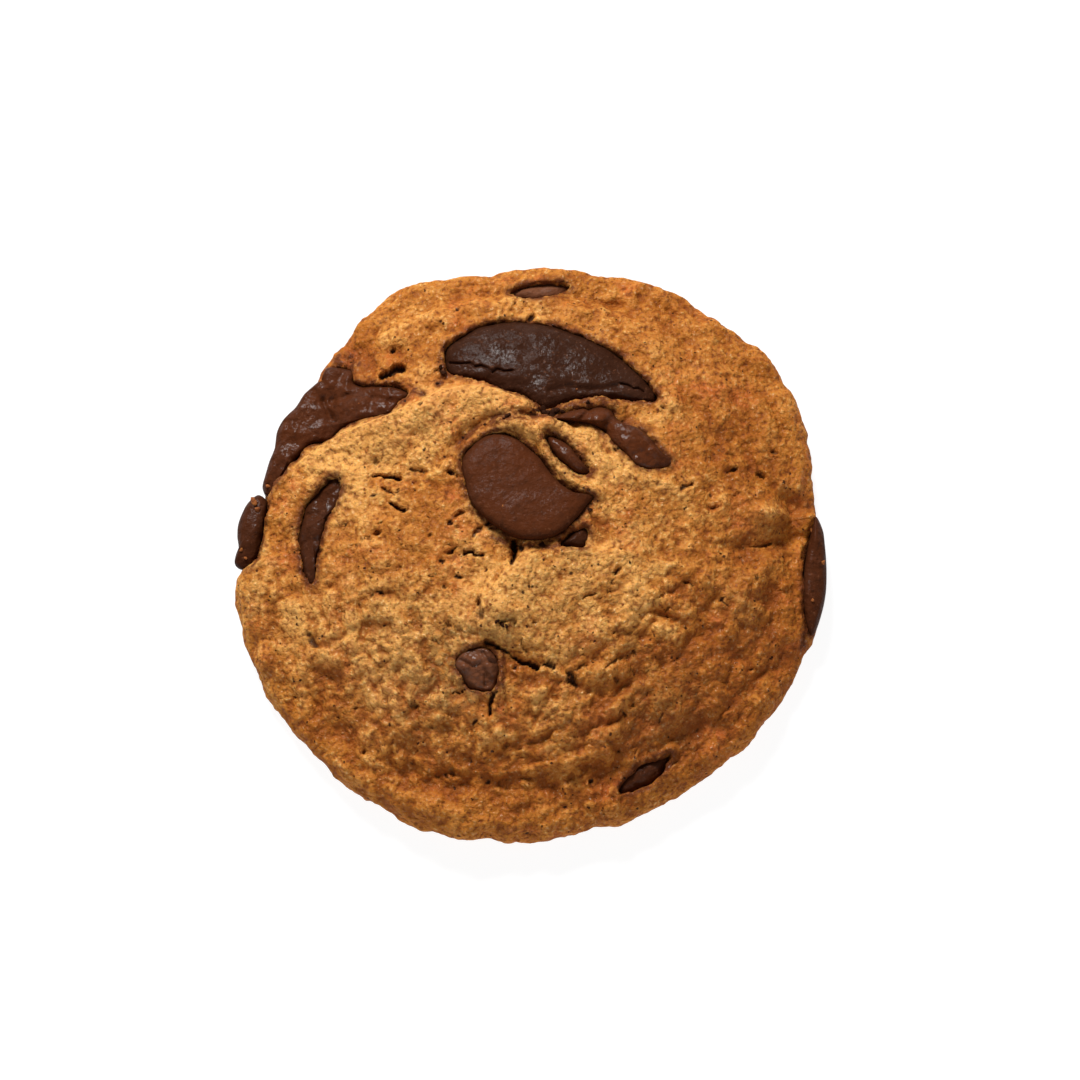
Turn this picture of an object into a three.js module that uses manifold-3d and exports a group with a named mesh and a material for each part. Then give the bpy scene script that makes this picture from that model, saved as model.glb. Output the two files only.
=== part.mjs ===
// A home-baked chocolate chip cookie, 84 mm across, lying flat on z = 0 with +Z up.
// +Y is the side where the largest piece of chocolate lies. All sizes are millimetres.
// The baked dough is one solid with a pocket for each piece of chocolate that shows.
import * as THREE from "three";
import { mergeVertices } from "three/addons/utils/BufferGeometryUtils.js";
import Module from "manifold-3d";

// Driving sizes of the dough
const MEAN_RADIUS = 41.3;
const CENTRE_HEIGHT = 15.2;
const SHOULDER_HEIGHT = 6.0; // top of the rounded edge
const EDGE_HEIGHT = 2.9; // height of the widest line
const EDGE_ROUND = 3.4; // how far the upper rounding reaches in
const UNDERCUT = 1.7; // how far the lower rounding reaches in
const DOME_POWER = 2.3; // a higher power makes a flatter top
const BOX_SHIFT = [-0.817, -0.508]; // brings the middle of the cookie's box to the origin

// Fineness of the dough's surface
const RINGS = 31; // ring k has 6 k points, so the triangles are alike in size
const FLANK_SHARE = 0.2; // share of the rings that runs down the side

// Pockets
const GAP = 0.3; // free space between a piece of chocolate and its pocket
const LET_DOWN = [0.86, 1.12]; // shares of a piece's outline between which the dough comes down to it
const CHIP_SEGMENTS = [18, 8]; // around and down each piece
const OUTLINE_STEPS = 72; // straight steps in a piece's smooth outline
const STEPS_PER_SPAN = 6; // straight steps between two points of a fold's path

// The edge bulges and draws in: [direction in degrees, millimetres outwards, half-width in degrees]
const EDGE_LOBES = [
  [36, 3.4, 15],
  [60, 1.4, 12],
  [80, 0.6, 12],
  [96, -0.5, 10],
  [114, 1, 9],
  [150, -5.2, 12],
  [167, -3, 8],
  [178, -2.6, 6],
  [190, -0.2, 12],
  [222, -0.8, 8],
  [282, -1.1, 24],
  [310, -0.8, 9],
  [340, 0.6, 9],
  [0, -1, 7],
  [20, 0.7, 7],
  [58, 0.6, 10],
  [130, -0.7, 6],
  [161, 0.5, 5],
  [200, 0.4, 5],
  [322, 0.4, 7],
  [350, 0.8, 8],
];

// Folds and creases of the top. The path runs over the crest; the first height is at its start
// and the second at its end. The first width is the fall-off on the path's left, the second on its right.
const FOLDS = {
  lobeLip: {
    path: [
      [-37.5, -6], [-36, 2], [-34, 8.5], [-30.5, 13], [-26, 15.4], [-20.5, 17.2], [-15, 19.2],
      [-10, 21.3], [-5, 21.3], [0, 19.3],
    ],
    height: [1.7, 2.8],
    width: [1.1, 4.3],
  },
  upperArc: {
    path: [[-17, 30.5], [-12, 33.5], [-6, 35], [0, 35.4], [7.5, 34.4], [14, 31.2], [19, 26.2], [21, 21]],
    height: [1, 0.8],
    width: [1.9, 1.5],
  },
  waferStrip: {
    path: [[-3.5, 17], [-1, 16.6], [1, 15.7], [2.5, 13.9], [3.6, 11.8], [5.2, 9.8], [7.4, 7.9], [10, 6.9]],
    height: [1.2, 1.4],
    width: [1.1, 1.1],
  },
  strandRight: {
    path: [[3.2, 17], [5.5, 16], [8, 14.6], [10, 12.8], [12, 10.6], [15, 9], [20, 8.6]],
    height: [1.1, 0.7],
    width: [1.1, 1.5],
  },
  lowerLobe: {
    path: [[-5.5, -7.5], [-3.5, -4.6], [0, -3], [5, -2], [10.5, -1.6], [16, -2.2]],
    height: [1.7, 1],
    width: [1.2, 5.5],
  },
  lowerLobeFoot: {
    path: [[-3, -13.2], [0.5, -13.8], [4.5, -14.4], [8.5, -13.6], [12.5, -11.5], [17, -8.5]],
    height: [0.9, 0.6],
    width: [5, 1.4],
  },
  nub: {
    path: [[25, 5.8], [30, 5.4], [34, 5]],
    height: [0.3, 1.4],
    width: [2.8, 1.5],
  },
  nubTip: {
    path: [[34, 5], [36, 4.9]],
    height: [1.2, 0.9],
    width: [1.3, 1.1],
  },
  rightRidge: {
    path: [[26, -20], [28.5, -12], [31.5, -5.5], [34.5, -1.5]],
    height: [0.4, 0.9],
    width: [1.4, 1.6],
  },
  footBulge: {
    path: [[-37, -14], [-31, -25], [-21, -33], [-9, -37], [3, -37.5], [15, -35], [25, -29.5], [33, -21]],
    height: [0.9, 0.7],
    width: [2.4, 2.2],
  },
  topFoot: {
    path: [[-22, 33], [-12, 38], [0, 39.5], [12, 39]],
    height: [0.6, 0.6],
    width: [1.5, 1.5],
  },
};
const CREASES = {
  lobeValley: {
    path: [[3.4, 18.3], [0, 17.9], [-4, 17.4], [-6.6, 16.6], [-8.9, 15], [-10.3, 12.8], [-10.3, 10]],
    height: [-1.3, -0.6],
    width: [1.1, 1.1],
  },
  lowerCrack: {
    path: [[-5, -14.6], [-2.5, -15.2], [0, -16.4], [2.2, -17.2], [4, -17.8]],
    height: [-0.6, -0.4],
    width: [1.1, 1.2],
  },
  middleCrease: {
    path: [[-1.6, 0.4], [-1.8, -2.6], [-3.4, -4.3], [-4.6, -5.9], [-6.4, -8], [-6.6, -9.5], [-6.8, -12.5]],
    height: [-1.3, -0.5],
    width: [1.1, 1.1],
  },
  underNub: {
    path: [[25.5, -0.6], [27.5, 0.1], [30, 0.4], [32.5, 0.4], [34.6, 1.2], [36.6, 2], [38.2, 2.7]],
    height: [-0.5, -1.5],
    width: [1.1, 1.1],
  },
  besideNub: {
    path: [[29, 15], [31.6, 11.8], [34.4, 9.2], [36.8, 7.2], [38.2, 5]],
    height: [-0.4, -1.9],
    width: [1.3, 1.1],
  },
  footValley: {
    path: [
      [-34, -12.5], [-30, -20.5], [-25, -26.5], [-18, -31], [-9.5, -33], [-1, -33.2], [7, -32.2],
      [15.5, -29.5], [23, -25],
    ],
    height: [-0.8, -1],
    width: [1.5, 1.7],
  },
  wrinkleLeft: {
    path: [[-27.5, -18], [-20.5, -23], [-12, -25.6], [-5.5, -25.6]],
    height: [-0.3, -0.5],
    width: [1.1, 1.1],
  },
  wrinkleLow: {
    path: [[-18, -28], [-9.5, -29.6], [-1, -29], [5.5, -27.5], [12.5, -25]],
    height: [-0.3, -0.3],
    width: [1.1, 1.1],
  },
  wrinkleRight: {
    path: [[4.5, -21.5], [12.5, -20], [19.5, -16.5], [25, -12]],
    height: [-0.4, -0.6],
    width: [1.1, 1.1],
  },
  wrinkleFarRight: {
    path: [[24.5, -11], [28, -5.5], [29.5, -1]],
    height: [-0.7, -0.6],
    width: [1.4, 1.4],
  },
  creaseLeft: {
    path: [[-34.5, -4], [-32.5, -11], [-27, -19]],
    height: [-0.5, -0.5],
    width: [1.3, 1.3],
  },
  topValley: {
    path: [[-16, 35.3], [-6, 37.3], [4, 37.8], [13, 35.5]],
    height: [-0.5, -0.9],
    width: [1.2, 1.2],
  },
  crossCrease: {
    path: [[-7.5, -1.4], [-12, -2.2], [-17, -1.2], [-21, 1.5]],
    height: [-0.5, -0.3],
    width: [1.1, 1.1],
  },
  hollowRight: {
    path: [[9, -15.8], [12, -16.6], [16, -13.5], [18.5, -9.5]],
    height: [-0.8, -0.4],
    width: [1.1, 1.1],
  },
  valleyUpperRight: {
    path: [[21, 23], [25, 18], [26.5, 12], [25.5, 6]],
    height: [-0.4, -0.5],
    width: [1.3, 1.3],
  },
};

// Pieces of chocolate. outline is the piece's own edge seen from above, and heart a place from which
// all of a bent one's outline can be seen. rise is how far its top stands over the plain dome, bend
// the share of the dome's own curve that it follows, depth its thickness, tilt its turn about X and Y
// in degrees from lying along the dome, and square how flat its top is: 2 makes a pebble, 5 a tablet.
const CHOCOLATE = {
  chunk_upper: {
    outline: [
      [-11.4, 27.4], [-10.9, 29.2], [-8.6, 30.6], [-6.8, 31.8], [-3.6, 32.5], [-1, 32.7], [3.6, 32],
      [8.2, 30.3], [12.2, 28.2], [16.6, 24.4], [18.3, 21.8], [17.6, 20.6], [12.9, 20.8], [9.2, 20.8],
      [6, 20.2], [3.9, 19.2], [2.2, 19.4], [0.3, 20.8], [-1.6, 21.6], [-3.3, 22], [-6.2, 23.4],
      [-9.8, 24.3], [-11, 25.4],
    ],
    bend: 0.5, rise: 0.2, depth: 5.5, tilt: [6, 0], square: 3.6,
  },
  wafer_middle: {
    outline: [
      [-4.6, 15.4], [-2.8, 15.3], [-0.9, 14.5], [0.5, 13.2], [2.1, 11.7], [3.3, 9.9], [5, 8], [7, 6.7],
      [9.4, 6.2], [8.6, 5], [7.2, 3.2], [5.2, 1.3], [3.4, 0.4], [0.6, 0.1], [-1.6, 0.6], [-4, 2],
      [-6.3, 4], [-7.7, 6], [-8.3, 8.4], [-8.8, 10.6], [-8.4, 12.3], [-6.6, 14.3],
    ],
    heart: [0, 7], rise: 1.5, depth: 4.2, tilt: [-4, 0], square: 5,
  },
  lobe_upper_right: {
    outline: [
      [4, 17.6], [4.8, 18.2], [7, 18.9], [10, 19.4], [12, 19], [13, 17.7], [14.6, 16.7], [16.3, 16.2],
      [17.8, 14.7], [19.2, 12.9], [20.4, 11.8], [19.8, 10.9], [17.4, 10.4], [15.5, 10.9], [14, 12.5],
      [12.4, 13.9], [11.4, 15.4], [10, 16.4], [8.2, 17], [5.6, 17.3],
    ],
    heart: [12.4, 16.9], rise: 1.6, depth: 4.6, tilt: [0, 0], square: 2.3,
  },
  chip_beside_wafer: {
    outline: [
      [3.2, 14.9], [4.9, 14.4], [6.3, 13.4], [7.2, 12.2], [8.2, 11], [9, 9.9], [7.9, 9.6], [6.8, 10],
      [5.7, 10.9], [4.3, 12.2], [3.4, 13.6],
    ],
    rise: 1.5, depth: 3.6, tilt: [0, 0], square: 2.4,
  },
  slab_left: {
    outline: [
      [-27.9, 26.7], [-24.6, 26.2], [-24.2, 24.2], [-22.3, 23.7], [-20, 23.3], [-17.6, 22.9],
      [-16.3, 22], [-17.4, 20.8], [-18.8, 19.3], [-21, 18.7], [-24.2, 18.1], [-26.2, 17.1],
      [-27.6, 15.9], [-29.8, 15.5], [-31.5, 14.3], [-33.2, 12.1], [-35, 9.8], [-36.1, 7.9],
      [-37.1, 9.2], [-36.8, 11], [-36.3, 12.7], [-35.5, 14.9], [-35.1, 17.6], [-33.8, 19.7],
      [-32.5, 21], [-31.2, 23], [-29.8, 24.3], [-28.7, 25.2],
    ],
    heart: [-31.2, 17.4], bend: 0.85, rise: 0.9, depth: 5, tilt: [0, 0], square: 4.5,
  },
  chip_left: {
    outline: [
      [-26.4, 10.2], [-25.6, 9.1], [-25.8, 7.5], [-26.5, 5.8], [-27.7, 4.4], [-28.1, 2.6],
      [-28.6, 0.2], [-29.2, -1.4], [-29.3, -3], [-29.3, -4.9], [-30.2, -5.2], [-30.8, -4],
      [-31.4, -1.8], [-32, 0.8], [-31.8, 3.2], [-31.4, 5.2], [-30.5, 7], [-29, 8.4], [-27.8, 9.5],
    ],
    heart: [-29.8, 2.9], rise: 0.9, depth: 4.4, tilt: [0, 0], square: 2.6,
  },
  chip_left_edge: {
    outline: [
      [-37.6, 8.4], [-38.9, 7.5], [-39.8, 6.1], [-40.5, 4.2], [-40.6, 2.4], [-40.4, 0.8],
      [-40.8, -0.3], [-40.9, -1.5], [-40, -2.2], [-38.6, -2.1], [-37.6, -0.4], [-37.1, 2],
      [-36.7, 4.6], [-36.4, 7.2],
    ],
    bend: 0.5, rise: 0.7, depth: 4.6, tilt: [0, 6], square: 2.6,
  },
  chunk_right_edge: {
    outline: [
      [41, 5.4], [42, 3.6], [42.3, 1.4], [42.5, -1.8], [42.4, -5.1], [41.8, -8.2], [40.6, -11.4],
      [39.6, -10.6], [39.1, -7.1], [39.1, -3.6], [39.6, -0.2], [40.3, 3],
    ],
    rise: 0.1, depth: 4.4, tilt: [0, -16], square: 2.6,
  },
  chip_lower_edge: {
    outline: [[20.3, -28.6], [19.7, -31], [17, -33.3], [12.8, -34.4], [14, -31.8], [16.8, -29.8]],
    rise: -0.6, depth: 3.6, tilt: [0, 0], square: 2.3,
  },
  chip_lower: {
    outline: [
      [-9.7, -16.8], [-8.9, -15.5], [-7.3, -14.8], [-5.4, -14.8], [-4.2, -15.7], [-3.6, -17.2],
      [-3.7, -19], [-4.4, -20.6], [-6, -20.6], [-7.6, -20.3], [-8.6, -18.9], [-9.4, -17.9],
    ],
    rise: 0.2, depth: 4.4, tilt: [0, 0], square: 3.6,
  },
  chip_upper_edge: {
    outline: [[-2.4, 37.4], [0, 38.8], [3.8, 39.2], [6.6, 38.5], [4.6, 36.9], [1, 36.4]],
    rise: -0.5, depth: 3.4, tilt: [0, 0], square: 2.3,
  },
  sliver_below_wafer: {
    outline: [[5.7, 0.4], [7, 1.7], [8.4, 2], [8.8, 0.7], [8.2, -0.7], [6.4, -0.8], [5, -0.5]],
    rise: 0.2, depth: 2.6, tilt: [0, 0], square: 2.3,
  },
};

const DEGREES = Math.PI / 180;
const doughPaint = new THREE.MeshStandardMaterial({ color: 0xb97c3e, roughness: 0.8, metalness: 0 });
const chocolatePaint = new THREE.MeshStandardMaterial({ color: 0x4a2c1e, roughness: 0.42, metalness: 0 });

// Radius of the dough's widest line in one direction: the mean radius and its lobes.
function edgeRadius(angle) {
  let radius = MEAN_RADIUS;
  for (const [direction, out, spread] of EDGE_LOBES) {
    let turn = angle / DEGREES - direction;
    turn -= 360 * Math.round(turn / 360);
    radius += out * Math.exp(-((turn / spread) ** 2));
  }
  return radius;
}

// Height of the plain dome, before folds, at one place of the top.
function domeHeight(x, y) {
  const reach = edgeRadius(Math.atan2(y, x)) - EDGE_ROUND;
  const share = Math.min(Math.hypot(x, y) / reach, 1);
  return SHOULDER_HEIGHT + (CENTRE_HEIGHT - SHOULDER_HEIGHT) * (1 - share ** DOME_POWER);
}

// A smooth curve through a path's points, as short straight steps.
function smoothSteps(path, closed, count) {
  const points = path.map(([x, y]) => new THREE.Vector3(x, y, 0));
  return new THREE.CatmullRomCurve3(points, closed, "centripetal").getSpacedPoints(count);
}

// One fold's or crease's height at a place: a bell across the path, wider on one side than on the other.
function foldHeight(fold, x, y) {
  let nearest = Infinity;
  let along = 0;
  let side = 0;
  const steps = fold.steps;
  for (let i = 0; i + 1 < steps.length; i++) {
    const [a, b] = [steps[i], steps[i + 1]];
    const [dx, dy] = [b.x - a.x, b.y - a.y];
    const t = THREE.MathUtils.clamp(((x - a.x) * dx + (y - a.y) * dy) / (dx * dx + dy * dy), 0, 1);
    const [ox, oy] = [x - a.x - t * dx, y - a.y - t * dy];
    const distance = Math.hypot(ox, oy);
    if (distance < nearest) {
      nearest = distance;
      along = (i + t) / (steps.length - 1);
      side = dx * oy - dy * ox > 0 ? 0 : 1;
    }
  }
  const height = THREE.MathUtils.lerp(fold.height[0], fold.height[1], along);
  return height * Math.exp(-((nearest / fold.width[side]) ** 2));
}

// Gentle lumps of the baked dough, as a sum of crossing bent waves: [wavelength, direction in degrees,
// height]
const LUMPS = [
  [9.1, 20, 0.16],
  [7.3, 95, 0.15],
  [5.7, 160, 0.13],
  [4.9, 50, 0.11],
  [4.3, 120, 0.1],
];
const LUMP_BEND = 1.3; // how far a wave's crest swings to and fro, in radians of the wave
function lumpHeight(x, y) {
  return LUMPS.reduce((sum, [length, direction, height], i) => {
    const a = direction * DEGREES;
    const bend = LUMP_BEND * Math.sin((x * Math.sin(a) - y * Math.cos(a)) / length + i);
    return sum + height * Math.sin(((x * Math.cos(a) + y * Math.sin(a)) * 2 * Math.PI) / length + bend);
  }, 0);
}

const folds = [...Object.values(FOLDS), ...Object.values(CREASES)].map((fold) => ({
  ...fold,
  steps: smoothSteps(fold.path, false, STEPS_PER_SPAN * (fold.path.length - 1)),
}));

// Height of all folds, creases and lumps over the plain dome.
function reliefHeight(x, y) {
  return folds.reduce((sum, fold) => sum + foldHeight(fold, x, y), lumpHeight(x, y));
}

// One piece of chocolate made ready: its smooth outline, its middle and the plane that it lies in.
function placeChocolate({ outline, heart, bend = 0, rise, depth, tilt, square }) {
  const rim = smoothSteps(outline, true, OUTLINE_STEPS).slice(0, -1);
  if (THREE.ShapeUtils.isClockWise(rim)) rim.reverse();
  const middle = rim.reduce((sum, p) => sum.add(p), new THREE.Vector3()).divideScalar(rim.length);
  const reach = Math.sqrt(Math.abs(THREE.ShapeUtils.area(rim)) / Math.PI);
  const domeSlope = [
    (domeHeight(middle.x + reach, middle.y) - domeHeight(middle.x - reach, middle.y)) / (2 * reach),
    (domeHeight(middle.x, middle.y + reach) - domeHeight(middle.x, middle.y - reach)) / (2 * reach),
  ];
  const centre = heart ? new THREE.Vector3(heart[0], heart[1], 0) : middle;
  return { rim, middle, heart: centre, domeSlope, bend, rise, depth, tilt, square };
}

// Height of a piece's widest line: a plane along the dome, tilted, and bent by a share of how far the
// dome itself leaves that plane.
function seatLevel({ middle, domeSlope, bend, rise, depth, tilt }, x, y) {
  const [dx, dy] = [x - middle.x, y - middle.y];
  const plane = domeHeight(middle.x, middle.y) + domeSlope[0] * dx + domeSlope[1] * dy;
  const tilted = Math.tan(tilt[1] * DEGREES) * dx + Math.tan(tilt[0] * DEGREES) * dy;
  return plane + bend * (domeHeight(x, y) - plane) + tilted + rise - depth / 2;
}

// How far out a place lies in a piece's outline: 0 in its middle, 1 on its edge, more outside.
function outlineShare(piece, x, y) {
  const [ox, oy] = [x - piece.heart.x, y - piece.heart.y];
  let share = Infinity;
  const count = piece.rim.length;
  for (let i = 0; i < count; i++) {
    const [a, b] = [piece.rim[i], piece.rim[(i + 1) % count]];
    const [ax, ay] = [a.x - piece.heart.x, a.y - piece.heart.y];
    const [bx, by] = [b.x - piece.heart.x, b.y - piece.heart.y];
    const area = ax * by - ay * bx;
    const u = (ox * by - oy * bx) / area;
    const v = (ax * oy - ay * ox) / area;
    if (u >= -1e-9 && v >= -1e-9) share = Math.min(share, u + v);
  }
  return share;
}

// A sphere pressed into a piece's outline, grown on every side by a margin.
function chocolateShape(piece, margin) {
  const [around, down] = CHIP_SEGMENTS;
  const shape = new THREE.SphereGeometry(1, around, down).rotateX(Math.PI / 2);
  shape.deleteAttribute("normal");
  shape.deleteAttribute("uv");
  const position = shape.getAttribute("position");
  const count = piece.rim.length;
  for (let i = 0; i < position.count; i++) {
    const out = Math.min(1, Math.hypot(position.getX(i), position.getY(i)));
    const turn = Math.atan2(position.getY(i), position.getX(i)) / (2 * Math.PI);
    const place = ((turn + 1) % 1) * count;
    const from = piece.rim[Math.floor(place) % count];
    const edge = from.clone().lerp(piece.rim[(Math.floor(place) + 1) % count], place % 1);
    const arm = edge.sub(piece.heart).setZ(0);
    arm.setLength(arm.length() + margin);
    const share = out ** (2 / piece.square + 0.2);
    const [x, y] = [piece.heart.x + arm.x * share, piece.heart.y + arm.y * share];
    const half = piece.depth / 2 + margin;
    const lift = Math.sign(position.getZ(i)) * half * (1 - share ** piece.square) ** (1 / piece.square);
    position.setXYZ(i, x, y, seatLevel(piece, x, y) + (Math.abs(position.getZ(i)) < 1e-6 ? 0 : lift));
  }
  return mergeVertices(shape, 1e-4);
}

// Height of the dough's top at one place, let down to a piece's widest line where the piece shows.
function topHeight(x, y, pieces) {
  let height = domeHeight(x, y) + reliefHeight(x, y);
  for (const piece of pieces) {
    const share = outlineShare(piece, x, y);
    if (share < LET_DOWN[1]) {
      const lower = 1 - THREE.MathUtils.smoothstep(share, ...LET_DOWN);
      height = THREE.MathUtils.lerp(height, Math.min(height, seatLevel(piece, x, y)), lower);
    }
  }
  return height;
}

// One point of the dough's skin. down runs from 0 at the middle of the top, over the rounded edge,
// to 1 where the cookie meets the table.
function skinPoint(angle, down, pieces) {
  const edge = edgeRadius(angle);
  const [c, s] = [Math.cos(angle), Math.sin(angle)];
  const flat = 1 - FLANK_SHARE;
  if (down <= flat) {
    const radius = ((edge - EDGE_ROUND) * down) / flat;
    return [radius * c, radius * s, topHeight(radius * c, radius * s, pieces)];
  }
  const around = (Math.PI * (down - flat)) / FLANK_SHARE;
  const upper = around < Math.PI / 2;
  const [reach, rise] = upper ? [EDGE_ROUND, SHOULDER_HEIGHT - EDGE_HEIGHT] : [UNDERCUT, EDGE_HEIGHT];
  const radius = edge - reach * (1 - Math.sin(around));
  const shoulder = edge - EDGE_ROUND;
  const relief = upper ? topHeight(shoulder * c, shoulder * s, pieces) - SHOULDER_HEIGHT : 0;
  const height = EDGE_HEIGHT + rise * Math.cos(around) + relief * Math.cos(around);
  return [radius * c, radius * s, down === 1 ? 0 : Math.max(0, height)];
}

// The dough's closed skin: rings of points round the middle, and a flat base.
function doughShape(pieces) {
  const points = [skinPoint(0, 0, pieces)];
  const faces = [];
  const start = (ring) => (ring === 0 ? 0 : 1 + 3 * ring * (ring - 1));
  for (let ring = 1; ring <= RINGS; ring++) {
    const [outer, inner] = [6 * ring, Math.max(1, 6 * (ring - 1))];
    for (let i = 0; i < outer; i++) points.push(skinPoint((2 * Math.PI * i) / outer, ring / RINGS, pieces));
    for (let sector = 0; sector < 6; sector++) {
      for (let j = 0; j < ring; j++) {
        const out = (k) => start(ring) + ((sector * ring + k) % outer);
        const inn = (k) => start(ring - 1) + ((sector * (ring - 1) + k) % inner);
        faces.push(inn(j), out(j), out(j + 1));
        if (j + 1 < ring) faces.push(inn(j), out(j + 1), inn(j + 1));
      }
    }
  }
  const base = points.push([0, 0, 0]) - 1;
  const last = 6 * RINGS;
  for (let i = 0; i < last; i++) faces.push(start(RINGS) + ((i + 1) % last), start(RINGS) + i, base);
  const shape = new THREE.BufferGeometry();
  shape.setAttribute("position", new THREE.Float32BufferAttribute(points.flat(), 3));
  shape.setIndex(faces);
  return shape;
}

const wasm = await Module();
wasm.setup();

function toSolid(shape) {
  const vertProperties = new Float32Array(shape.getAttribute("position").array);
  const triVerts = new Uint32Array(shape.getIndex().array);
  return new wasm.Manifold(new wasm.Mesh({ numProp: 3, vertProperties, triVerts }));
}

function toShape(solid) {
  const { vertProperties, triVerts } = solid.getMesh();
  const shape = new THREE.BufferGeometry();
  shape.setAttribute("position", new THREE.BufferAttribute(vertProperties, 3));
  shape.setIndex(new THREE.BufferAttribute(triVerts, 1));
  shape.computeVertexNormals();
  return shape;
}

// The dough with a pocket round each piece. A crumb that the cut leaves loose is dropped.
function pocketedDough(pieces) {
  const whole = toSolid(doughShape(pieces));
  const cut = pieces.reduce((dough, piece) => dough.subtract(toSolid(chocolateShape(piece, GAP))), whole);
  const bodies = cut.decompose();
  return bodies.reduce((largest, body) => (body.volume() > largest.volume() ? body : largest));
}

const cookie = new THREE.Group();
cookie.position.set(BOX_SHIFT[0], BOX_SHIFT[1], 0);

const pieces = Object.values(CHOCOLATE).map(placeChocolate);
for (const [i, name] of Object.keys(CHOCOLATE).entries()) {
  const piece = pieces[i];
  const mesh = new THREE.Mesh(chocolateShape(piece, 0), chocolatePaint);
  mesh.name = name;
  cookie.add(mesh);
}

const dough = new THREE.Mesh(toShape(pocketedDough(pieces)), doughPaint);
dough.name = "dough";
cookie.add(dough);

export default cookie;
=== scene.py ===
import math

import bpy
import numpy as np
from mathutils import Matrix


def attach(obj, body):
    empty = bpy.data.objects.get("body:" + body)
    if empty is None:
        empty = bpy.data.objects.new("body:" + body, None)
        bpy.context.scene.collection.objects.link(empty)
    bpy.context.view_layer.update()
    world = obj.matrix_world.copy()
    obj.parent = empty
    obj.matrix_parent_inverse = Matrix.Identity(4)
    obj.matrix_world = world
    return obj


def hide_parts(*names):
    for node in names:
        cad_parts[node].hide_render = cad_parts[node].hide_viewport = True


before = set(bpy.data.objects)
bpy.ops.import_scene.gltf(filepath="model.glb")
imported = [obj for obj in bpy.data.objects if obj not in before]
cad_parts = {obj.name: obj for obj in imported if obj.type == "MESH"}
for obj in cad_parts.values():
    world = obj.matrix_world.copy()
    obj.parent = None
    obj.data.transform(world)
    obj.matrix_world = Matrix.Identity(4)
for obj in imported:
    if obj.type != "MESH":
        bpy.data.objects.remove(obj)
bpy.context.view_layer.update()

bl_info = {
    "name": "Chocolate chip cookie",
    "version": (1, 0, 0),
    "blender": (4, 5, 0),
    "location": "View3D > Sidebar > Cookie",
    "description": "Builds a baked cookie with its chocolate, crumbs and studio",
    "category": "Add Mesh",
}

MM = 0.001

# From the tables' own middle to the middle of the solids' box
BOX_SHIFT = np.array([-0.817, -0.508, 0.0])

# The plain shape of the dough: how far its edge is rounded above and drawn in below, the height of its
# widest line and the power of the dome's curve
EDGE_ROUND = 3.4
UNDERCUT = 1.7
EDGE_HEIGHT = 2.9
DOME_POWER = 2.3

# The share of the dough's grid that runs down its rounded edge, the underside's rings as shares of the
# rim, and how far the underside is hollowed
FLANK_SHARE = 0.2
UNDERSIDE_RINGS = (0.985, 0.9, 0.74, 0.55, 0.36, 0.18)
UNDERSIDE_HOLLOW = 0.22

# The height below which the dough's fine relief fades out, and how low its skin may reach
SETTLE_HEIGHT = 1.2
LOWEST_SKIN = 0.02

# The crust's knobs at each of their sizes as height, size and seed, and the height of its crags and how
# far they are drawn out round the cookie
KNOBS = [(0.66, 2.4, 23), (0.48, 1.25, 29)]
CRAG_HEIGHT = 1.3
CRAG_DRAW = 19.0

# The lip of dough round a piece of chocolate: its height, how far out its crest lies and its half-width,
# how far out the crust is melted, and the share of the piece's depth between its widest line and the
# floor of the pocket
LIP_HEIGHT, LIP_OUT, LIP_WIDTH = 0.32, 0.7, 0.75
MELTED_REACH = 0.9
POCKET_SHARE = 0.15

# Noise that makes the rims of pits, cracks and lips ragged: strength, size and seed of each layer
PIT_RAGS = [(0.55, 0.6, 7)]
CRACK_RAGS = [(0.13, 0.8, 61), (0.05, 0.35, 62)]
LIP_RAGS = [(0.26, 1.5, 71), (0.16, 0.65, 73)]

# How far the crust is baked in the middle, and how much more at the edge
BAKED_MIDDLE, BAKED_MORE = 0.38, 0.42

# Small pits: how many lie anywhere and how far out, then clusters as middle, spread and number
WIDE_PITS = 100
SCATTER_REACH = 36
PIT_CLUSTERS = [((-14, 3), (7, 6), 42), ((-4, -22), (16, 6), 36), ((8, -8), (12, 7), 14)]

# Short torn slits: how many, how far out, and the steps of each
SLITS = 32
SLIT_REACH = 34
SLIT_STEPS = 3

# The chocolate's meshes: points round and down a piece for each millimetre of its length, the least and
# the most of each, and how low a piece may reach
CHOCOLATE_MESH = [(14, 110, 400), (6, 60, 150)]
LOWEST_CHOCOLATE = 0.3

# Crumbs: points round and down one, the directions that its lumps stand out in, how much of its size it
# rides over what it lies on, and the number and sizes of the loose ones
CRUMB_MESH = (12, 8)
CRUMB_LUMPS = 9
CRUMB_RIDE = 0.25
LOOSE_CRUMBS = 110
LOOSE_SIZES = (0.12, 0.3)

# Seeds of the random draws
PIT_SEED, SLIT_SEED, LOOSE_SEED, CRUMB_SEED, FLECK_SEED = 5, 67, 17, 19, 23

# Sizes in metres of the unevenness that the materials draw: clumps of grains, single grains, the round
# beads among them, and pores
CLUMP, GRAIN, BEAD, PORE = 0.0012, 0.00062, 0.00068, 0.0011

# The studio: half the side of its floor, and each light's place and size in metres
FLOOR_HALF = 1.5
KEY_LIGHT = ((-0.2, 0.64, 0.6), 0.24)
FRONT_LIGHT = ((0.2, -0.75, 0.5), 0.7)
SENSOR_WIDTH = 36

# Noise: corners of its lattice each way before it repeats, and how far from corner 0 the middle lies
LATTICE_COUNT = 32
LATTICE_START = 100.0

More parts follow.
